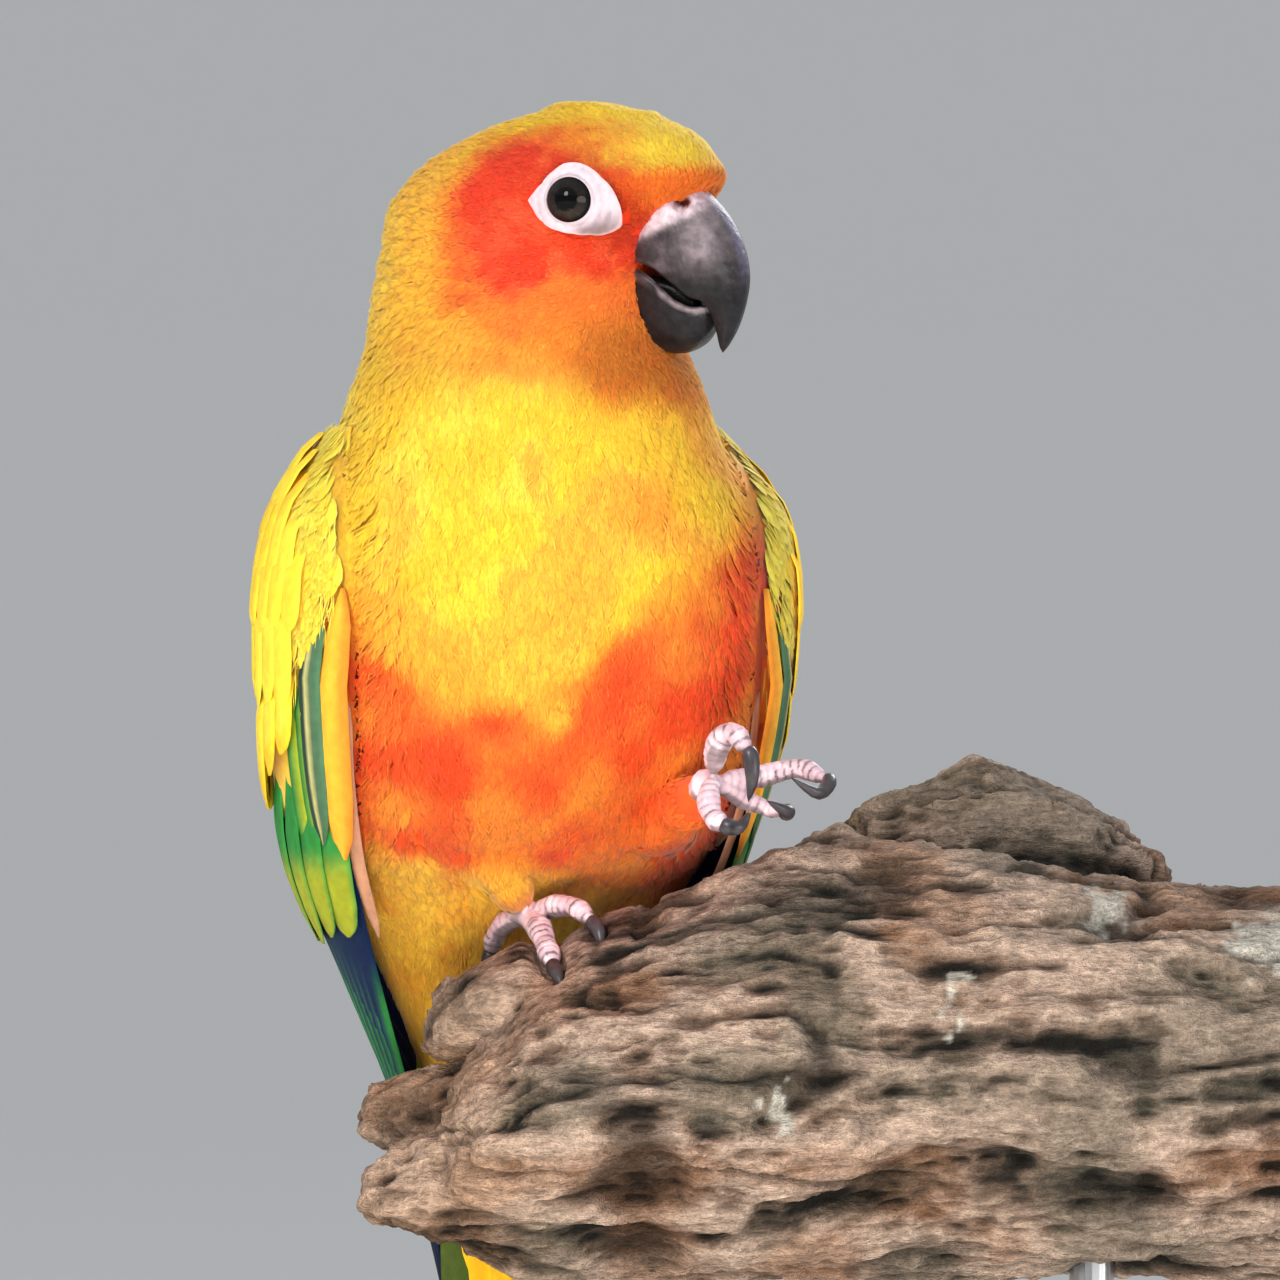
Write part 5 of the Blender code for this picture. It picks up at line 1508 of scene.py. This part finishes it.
for side, label in SIDES:
    mesh = arm(side)
    show(f"wing_{label}_arm", mesh, skin_material)
    settle_arm, sow_arm = surface_of(mesh)

    roots = sow_arm(leaf_density)
    size = chance.uniform(3.4, 5.2, len(roots))
    lie = np.array([0.0, 0.1, -1.0]) + chance.normal(0, 0.12, roots.shape)
    raised = outside(roots) & (roots[:, 2] > np.where(past_front(roots) < 9, 200, 189))
    size = np.where(raised, size, size * 0.75)
    leaves = lit_as_body(walk(
        settle_arm, roots, lie, size, size * 0.42, 0.1 + 0.27 * raised, 0.4 + 0.99 * raised, LEAF))
    tone = mix(wing_tones(len(roots)), markings(roots), ~raised)
    colours = np.repeat(tone[:, None], leaves.shape[2], 1)
    for part, pick, softness in (("shoulder", raised, 0.8), ("edge", ~raised, 0.85)):
        joined_feathers(f"wing_{label}_{part}", leaves[:, pick], LEAF, colours[pick], roots[pick],
                        softness)

    roots = sow_arm(barb_density)
    lie = np.array([0.0, 0.15, -1.0]) + chance.normal(0, 0.2, roots.shape)
    size = chance.uniform(2.4, 4.4, len(roots))
    level = np.full(len(roots), 1.0)
    barbs = lit_as_body(walk(settle_arm, roots, lie, size, size * 0.07, level * 0.7, level * 1.5, BARB))
    colours = np.repeat(wing_tones(len(roots))[:, None], barbs.shape[2], 1)
    colours = colours * chance.uniform(0.88, 1.08, (len(roots), 1, 1))
    made = share_out(f"wing_{label}_barbs", barbs, BARB, colours, roots)
    print("arm", label, made, "triangles of barbs")

# %% [markdown]
# The tail is twelve long, graduated feathers, the middle pair longest and on top, each next pair a step
# shorter and underneath. Coverts close the gap to the body above and below.

# %% Tail
TAIL_ROOT = np.array([-18.2, 29.6, 122.0])
TAIL_ALONG = unit(np.array([0.10, 0.17, -1.0]))
BODY_TURN = math.radians(14)
BODY_LEFT = np.array([math.cos(BODY_TURN), math.sin(BODY_TURN), 0.0])
TAIL_ACROSS = unit(BODY_LEFT - TAIL_ALONG * (BODY_LEFT @ TAIL_ALONG))
TAIL_OUT = np.cross(TAIL_ACROSS, TAIL_ALONG)
TAIL_LENGTHS = (109.0, 101.0, 91.0, 80.0, 69.0, 59.0)
# start along the tail, length, how many, spread to either side
TAIL_COVERTS = ((-14, 20, 5, 6.5), (-8, 26, 5, 6.0), (-1, 33, 4, 5.0), (-18, 16, 6, 7.5))


def tail_vane(start, length, root, tip, width, layer, grid, settle_at=0.16):
    across, along, on_top, _ = grid
    out = layer * (0.45 + 0.55 * step(along, 0, settle_at)) + vane_rise(grid, 0.3, 0.85, 0.08, 0.12, 0.25)
    aside = root + (tip - root) * along + vane_reach(grid, width)
    return (TAIL_ROOT + np.outer(start + length * along, TAIL_ALONG) + np.outer(aside, TAIL_ACROSS)
            + np.outer(out, TAIL_OUT))


across, along, on_top, _ = GRID_LARGE
tail_tone = web_colour(along, across, linear(92, 112, 34), linear(70, 118, 44), linear(30, 62, 104), 0.7)
# Darker grey on the face towards the body: partly the feathers' duller underside, partly painted shade under the
# body.
tail_tone = mix(tail_tone, linear(30, 40, 40), 0.5 * ~on_top)
# pair, place of the root and of the tip aside, layer, width
plan = [(0, 1.0, 1.2, 2.9, 11.5), (0, -1.0, -1.6, 1.95, 11.5)]
for pair in range(1, 6):
    for side, _ in SIDES:
        plan.append((pair, side * (4.6 + 0.55 * pair), side * (4.9 + 0.5 * pair), 2.9 - 0.95 * (1 + pair), 8.8))
vanes = []
for pair, root, tip, layer, width in plan:
    points = tail_vane(2.0, TAIL_LENGTHS[pair], root, tip, width, layer, GRID_LARGE)
    vanes.append(streaked(points, tail_tone, 0.4))
join_vanes("tail_feathers", vanes, GRID_LARGE, 4, ["tail"])
across, along = GRID_SMALL[:2]
vanes = []
for row, (start, length, number, spread) in enumerate(TAIL_COVERTS):
    for face in (-1, 1):
        for share in np.linspace(-1, 1, number):
            high = 4.3 + 0.4 * row if face > 0 else -3.0 - 0.35 * row
            aside = share * spread
            long = length + chance.uniform(-2, 2)
            points = tail_vane(start, long, aside, aside * 0.85, 6.2, high, GRID_SMALL, 0.5)
            pair = (OLIVE, YELLOW_GREEN) if face > 0 else (YELLOW_GREEN, GOLD)
            base = mix(*pair, chance.random())
            vanes.append(streaked(points, web_colour(along, across, base * 0.9, base, base, 0.7), 0.3))
join_vanes("tail_coverts", vanes, GRID_SMALL, 8)
print("tail feathers", len(plan), "tail coverts", len(vanes))

# %% [markdown]
# The feet keep the solids' shape, which already grips the wood. A copy of each foot is welded, remeshed
# finely and smoothed. A parrot's toes carry a row of cross scales: how far each point lies along its toe
# gives where the grooves between them go, in the shape and in the colour.

# %% Feet
def refined(name, voxel, smooth):
    """A fine even copy of a solid."""
    shape = bmesh.new()
    shape.from_mesh(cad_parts[name].data)
    bmesh.ops.remove_doubles(shape, verts=shape.verts[:], dist=1e-6)
    return remeshed(mesh_of(shape), voxel, smooth)


TOES = {
    "right": (
        ((-15.4, -0.2, 153.6), (-13.5, -7.2, 152.6), (-12.3, -12.4, 149.9), (-11.4, -16.4, 147.4)),
        ((-15.2, -0.4, 153.8), (-11.7, -4.6, 155.2), (-8.5, -8.4, 155.2), (-6.1, -11.6, 153.0)),
        ((-15.6, -0.8, 153.6), (-17.7, 2.2, 153.2), (-19.3, 4.4, 151.2), (-20.2, 5.4, 148.2)),
        ((-15.2, -0.8, 153.6), (-13.6, 1.9, 153.4), (-12.7, 3.8, 151.8), (-12.4, 4.7, 149.4)),
    ),
    "left": (
        ((9.6, -23.4, 172.6), (10.2, -26.6, 176.8), (12.3, -29.0, 178.6), (14.5, -30.6, 175.4)),
        ((9.8, -23.6, 172.8), (9.0, -26.2, 169.8), (9.8, -28.6, 167.2), (11.6, -29.8, 166.2)),
        ((9.8, -23.2, 172.4), (15.4, -18.6, 172.6), (21.2, -17.8, 173.8), (24.9, -21.2, 171.9)),
        ((9.8, -23.2, 172.2), (13.2, -20.6, 169.9), (16.6, -19.6, 168.6), (19.4, -21.4, 168.0)),
    ),
}
SCUTE = 1.25


def foot_skin(label):
    """The remeshed foot with cross scales pressed in along each toe, and its colours."""
    mesh = refined(f"foot_{label}", 0.00027, 4)
    spots, normals = coordinates(mesh), read_points(mesh, "normal")
    least, place = np.full(len(spots), 99.0), np.zeros(len(spots))
    for toe in TOES[label]:
        line = through(toe, 60)
        run = np.concatenate([[0], np.cumsum(np.linalg.norm(np.diff(line, axis=0), axis=1))])
        gap = np.linalg.norm(spots[:, None] - line[None], axis=-1)
        place = np.where(gap.min(1) < least, run[gap.argmin(1)], place)
        least = np.minimum(least, gap.min(1))
    phase = np.abs((place / SCUTE + 0.35 * cloud(spots, 2.5)) % 1.0 - 0.5) * 2
    groove = step(phase, 0.72, 0.98) * step(place, 0.6, 2.0)
    move_points(mesh, spots + normals * (-0.13 * groove + 0.10 * (cloud(spots, 0.7) - 0.5))[:, None])
    between = step(phase, 0.55, 0.9)
    dusky = step(place, 3.5, 8.0) * step(cloud(spots, 1.3, 8.0), 0.38, 0.58)
    colour_points(mesh, coats(
        linear(212, 174, 186),
        (linear(236, 212, 222), cloud(spots, 2.0)),
        (linear(140, 116, 126), 0.6 * between * (0.3 + 0.7 * cloud(spots, 1.7, 4.0))),
        (linear(70, 62, 72), 0.85 * dusky * (0.3 + 0.7 * between)),
        # Darker where the skin faces down: painted shade on the undersides of the foot.
        (linear(96, 82, 86), 0.75 * step(-normals[:, 2] + 0.6 * (cloud(spots, 1.5) - 0.5), 0.25, 0.7)),
    ))
    return mesh


foot_material = bare_material("foot_scales", 0.92, 1.05, grain=1500.0, strength=0.35)
for label in TOES:
    show(f"foot_{label}_skin", foot_skin(label), foot_material, [f"foot_{label}"])
print("feet", list(TOES))

# %% [markdown]
# Each claw is a tapering tube that starts inside the end of its toe, so it grows out of it without a gap.

# %% Claws
CLAWS = {
    "right": (
        ((-10.8, -18.6, 146.3), (-9.5, -21.4, 142.2)), ((-5.3, -13.4, 151.6), (-5.1, -14.6, 148.2)),
        ((-20.4, 5.4, 145.8), (-20.2, 4.4, 143.0)), ((-12.4, 4.7, 147.2), (-12.6, 3.8, 144.8)),
    ),
    "left": (
        ((14.7, -31.0, 172.4), (14.2, -29.2, 169.4)), ((13.2, -29.8, 166.3), (14.6, -28.2, 168.4)),
        ((23.4, -24.2, 170.5), (19.8, -25.4, 172.6)), ((19.1, -23.6, 168.2), (16.6, -25.2, 169.6)),
    ),
}
CLAW_WIDTHS = (0.75, 0.95, 1.0, 1.0, 0.95, 0.88, 0.78, 0.66, 0.5, 0.3)


def claw_path(toe, claw):
    """Middle line of a claw; it starts inside the end of its toe, so that it grows out of it."""
    end = np.array(toe[-1])
    back = unit(np.array(toe[-2]) - end)
    return through([tuple(end + back * 1.3), tuple(end), *claw], 12)


claw_material = bare_material("claw_horn", 0.8, 1.2, grain=1400.0, strength=0.15, roughness=0.3)
for label in CLAWS:
    for number, (toe, claw) in enumerate(zip(TOES[label], CLAWS[label]), 1):
        mesh = mesh_of(tube(claw_path(toe, claw), CLAW_WIDTHS, across=1.02, tall=1.15))
        colour_points(mesh, mix(linear(30, 28, 31), linear(86, 80, 86), 0.6 * cloud(coordinates(mesh), 0.8)))
        show(f"claw_{label}_{number}_horn", mesh, claw_material, [f"claw_{label}_{number}"])
print("claws", sum(len(claws) for claws in CLAWS.values()))

# %% [markdown]
# Driftwood is worn softest first: what stays are long hard fibres with grooves between them, hollows where it
# rotted, and cracks. The solid of the log is remeshed finely and its points pushed in and out by three sizes
# of crested noise, stretched along the grain. Where the bird's toes grip it, the wood stays just under them.

# %% Shape of the driftwood
wood_mesh = refined("perch", 0.00062, 8)
spots, normals = coordinates(wood_mesh), read_points(wood_mesh, "normal")
sideways = 3.0 * cloud(spots, 22.0) + 0.05 * spots[:, 0]
bend = np.stack([0 * sideways, sideways, 4.0 * cloud(spots, 18.0, 5.0)], -1)
bent = spots + bend + 0.9 * np.stack([cloud(spots, 3.0, k) - 0.5 for k in (1.0, 2.0, 3.0)], -1)


def grained(stretch, size, shift):
    """Noise that follows the bent grain; stretch below 1 draws it out along the log."""
    return cloud(bent * np.array([stretch, 1.0, 1.0]), size, shift)


def ridge(stretch, size, shift):
    """The same with sharp crests, 1 on the crest."""
    return 1 - np.abs(2 * grained(stretch, size, shift) - 1)


LEDGES = 7
strands, fibres, threads = ridge(0.24, 5.0, 2.0), ridge(0.30, 2.5, 7.0), ridge(0.30, 1.25, 4.0)
layers = grained(0.16, 4.4, 23.0) * LEDGES
ledges = (np.floor(layers) + step(layers % 1.0, 0.55, 0.95)) / LEDGES
crack = step(ridge(0.16, 7.0, 19.0), 0.90, 0.985) * step(cloud(spots, 12.0, 6.0), 0.35, 0.6)
hollow = step(grained(0.5, 8.0, 11.0), 0.62, 0.85)
end_cut = step(spots[:, 0], 94.0, 95.6)
toes = np.concatenate([*TOES["right"], *CLAWS["right"]])
near_foot = np.all((spots > toes.min(0) - 4.0) & (spots < toes.max(0) + 4.0), axis=1)
relief = 1.1 * (strands - 0.62) + 1.3 * (fibres - 0.6) + 1.0 * (threads - 0.6) + 3.0 * (ledges - 0.5)
relief = relief - 1.4 * crack - 1.6 * hollow
relief = np.where(near_foot, np.minimum(relief, 0.0) * 0.3, relief) * (1 - end_cut)
moved = spots + normals * relief[:, None]
grips = [(through(toe, 24), 1.75) for toe in TOES["right"]]
grips += [(claw_path(toe, claw), 1.0) for toe, claw in zip(TOES["right"], CLAWS["right"])]
for line, thick in grips:
    gap = np.linalg.norm(moved[near_foot][:, None] - line[None], axis=-1).min(1)
    moved[near_foot] -= normals[near_foot] * np.maximum(thick + 0.15 - gap, 0)[:, None] * 1.3
move_points(wood_mesh, moved)
print("relief of the wood", relief.min().round(1), "to", relief.max().round(1), "mm")

# %% [markdown]
# The same heights choose the colours, dark in the grooves and pale on the crests, so relief and colour agree: the
# pale crests are the wood's own bleached fibres, and the dark of the grooves, cracks and hollows is partly the
# wood's own weathering and partly painted shade. Broad patches are greenish grey or tan, a few spots are
# bleached, and the sawn end shows year rings.

# %% Colours of the driftwood
YEAR = 1.7
# place across and place up in millimetres, size
BLEACHED = (
    (82.0, 150.67, 4.5), (41.33, 141.33, 2.2), (18.0, 129.33, 2.6), (61.33, 155.33, 3.2), (42.67, 146.0, 1.4),
)
height = 1.1 * (fibres - 0.6) + 0.9 * (threads - 0.6) + 1.2 * (strands - 0.62) + 1.2 * (ledges - 0.5)
height = np.clip((height + 0.9) / 1.6, 0, 1)
tint = cloud(spots, 12.0, 4.0)
wood = coats(
    linear(62, 52, 46),
    (linear(138, 114, 98), step(height, 0.2, 0.5)),
    (linear(204, 178, 160), step(height, 0.45, 0.85)),
    (linear(116, 112, 98), 0.55 * step(tint, 0.50, 0.75)),
    (linear(158, 112, 80), 0.5 * step(tint, 0.45, 0.25)),
    (linear(54, 54, 47), 0.65 * step(grained(0.6, 9.0, 31.0), 0.50, 0.68) * step(height, 1.0, 0.4)),
    # Near black in the deepest grooves, cracks and hollows: partly the wood's own weathering, partly painted
    # shade.
    (linear(28, 26, 23), 0.9 * np.maximum(step(height, 0.3, 0.1), np.maximum(crack, hollow) * 0.8)),
    (linear(196, 158, 128), 0.4 * step(spots[:, 0], -6, -26) * height),
)
for x, z, size in BLEACHED:
    gap = np.hypot(spots[:, 0] - x, spots[:, 2] - z) + 5.0 * (cloud(spots, 1.4) - 0.5)
    wood = mix(wood, linear(226, 222, 210), 0.8 * step(gap, size, size * 0.5) * (spots[:, 1] < -8))
pith = spots[spots[:, 0] > 95.0].mean(0) + np.array([0, 3.0, -4.0])
from_pith = np.hypot(spots[:, 1] - pith[1], (spots[:, 2] - pith[2]) * 1.1) + 1.6 * cloud(spots, 6.0, 2.0)
year = 0.5 + 0.5 * np.sin(from_pith * 2 * math.pi / YEAR)
sawn = mix(linear(188, 154, 120), linear(134, 100, 72), 0.7 * year ** 2)
colour_points(wood_mesh, np.clip(mix(wood, sawn, end_cut), 0, 1))
print("driftwood", len(wood_mesh.polygons), "faces")

# %% [markdown]
# What is finer than the mesh is left to the material: two mottlings drawn out along the grain and one of
# pits. Multiplied together they darken the colour and press the surface in.

# %% Driftwood material
wood_material, tree, shader = new_material("driftwood", 0.9, Specular_IOR_Level=0.2)
along_grain = {"stretch": (0.28, 1, 1), "turn": math.radians(-4)}
grain = speckle(tree, 1100.0, 0.35, 1.45, 0.8, **along_grain)
coarse = speckle(tree, 420.0, 0.7, 1.25, 0.7, **along_grain)
pits = speckle(tree, 700.0, 0.55, 1.3, 0.8)
worn = calculate(tree, "MULTIPLY", calculate(tree, "MULTIPLY", grain, coarse), pits)
painted(tree, shader, worn)
bump(tree, shader, worn, 1.0, 0.0008)
show("driftwood", wood_mesh, wood_material, ["perch"])
print("material", wood_material.name)

# %% [markdown]
# The stand is plain on purpose: a satin black base and two brushed rods keep their solids, and only get a
# finish. One mottling makes both the roughness and the shade of each, drawn out along the rods like brush
# marks.

# %% Stand
def stand_material(name, roughness, dark, light, specks, **sockets):
    """A plain finish whose roughness and shade both follow one mottling."""
    made, tree, shader = new_material(name, roughness, **sockets)
    speck = speckle(tree, **specks)
    shade = add_node(tree, "Mix", speck, *[None] * 5, dark, light, data_type="RGBA").outputs[2]
    feed(tree, shader["Roughness"], speck)
    feed(tree, shader["Base Color"], shade)
    return made


base_material = stand_material(
    "satin_black", 0.4, (0.008, 0.008, 0.008, 1), (0.04, 0.038, 0.036, 1),
    {"scale": 1200.0, "low": 0.34, "high": 0.5}, Specular_IOR_Level=0.5)
rod_material = stand_material(
    "brushed_rod", 0.32, (0.42, 0.42, 0.43, 1), (0.66, 0.66, 0.67, 1),
    {"scale": 2400.0, "low": 0.22, "high": 0.45, "stretch": (1, 1, 0.04)}, Metallic=1.0)
for label, material in (("base", base_material), ("rod_1", rod_material), ("rod_2", rod_material)):
    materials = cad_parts[f"stand_{label}"].data.materials
    materials.clear()
    materials.append(material)
print("stand finished")

# %% [markdown]
# The floor is a wide pale bowl, flat for metres round the bird and curving up far away, so that no horizon
# cuts the view from any side.

# %% Floor
FLOOR_RISE = 2.6
FLOOR_GAP = 0.0002
floor_shape = bmesh.new()
turns = np.linspace(0, math.pi / 2, 7)
profile = [(0.0, 0.0), (1.2, 0.0), (2.4, 0.0)]
profile += [(3.6 + FLOOR_RISE * math.sin(t), FLOOR_RISE - FLOOR_RISE * math.cos(t)) for t in turns]
rim_points = [floor_shape.verts.new((x, 0, z - FLOOR_GAP)) for x, z in profile]
edges = [floor_shape.edges.new(pair) for pair in zip(rim_points, rim_points[1:])]
bmesh.ops.spin(floor_shape, geom=rim_points + edges, axis=(0, 0, 1), angle=2 * math.pi, steps=64,
               use_merge=True)
bmesh.ops.remove_doubles(floor_shape, verts=floor_shape.verts[:], dist=1e-5)
bmesh.ops.recalc_face_normals(floor_shape, faces=floor_shape.faces[:])
floor_mesh = mesh_of(floor_shape)
floor_mesh.materials.append(new_material("pale_floor", 0.9, Base_Color=(0.66, 0.66, 0.65, 1))[0])
floor = add_object("floor", floor_mesh)
print("floor", len(floor_mesh.polygons), "faces")
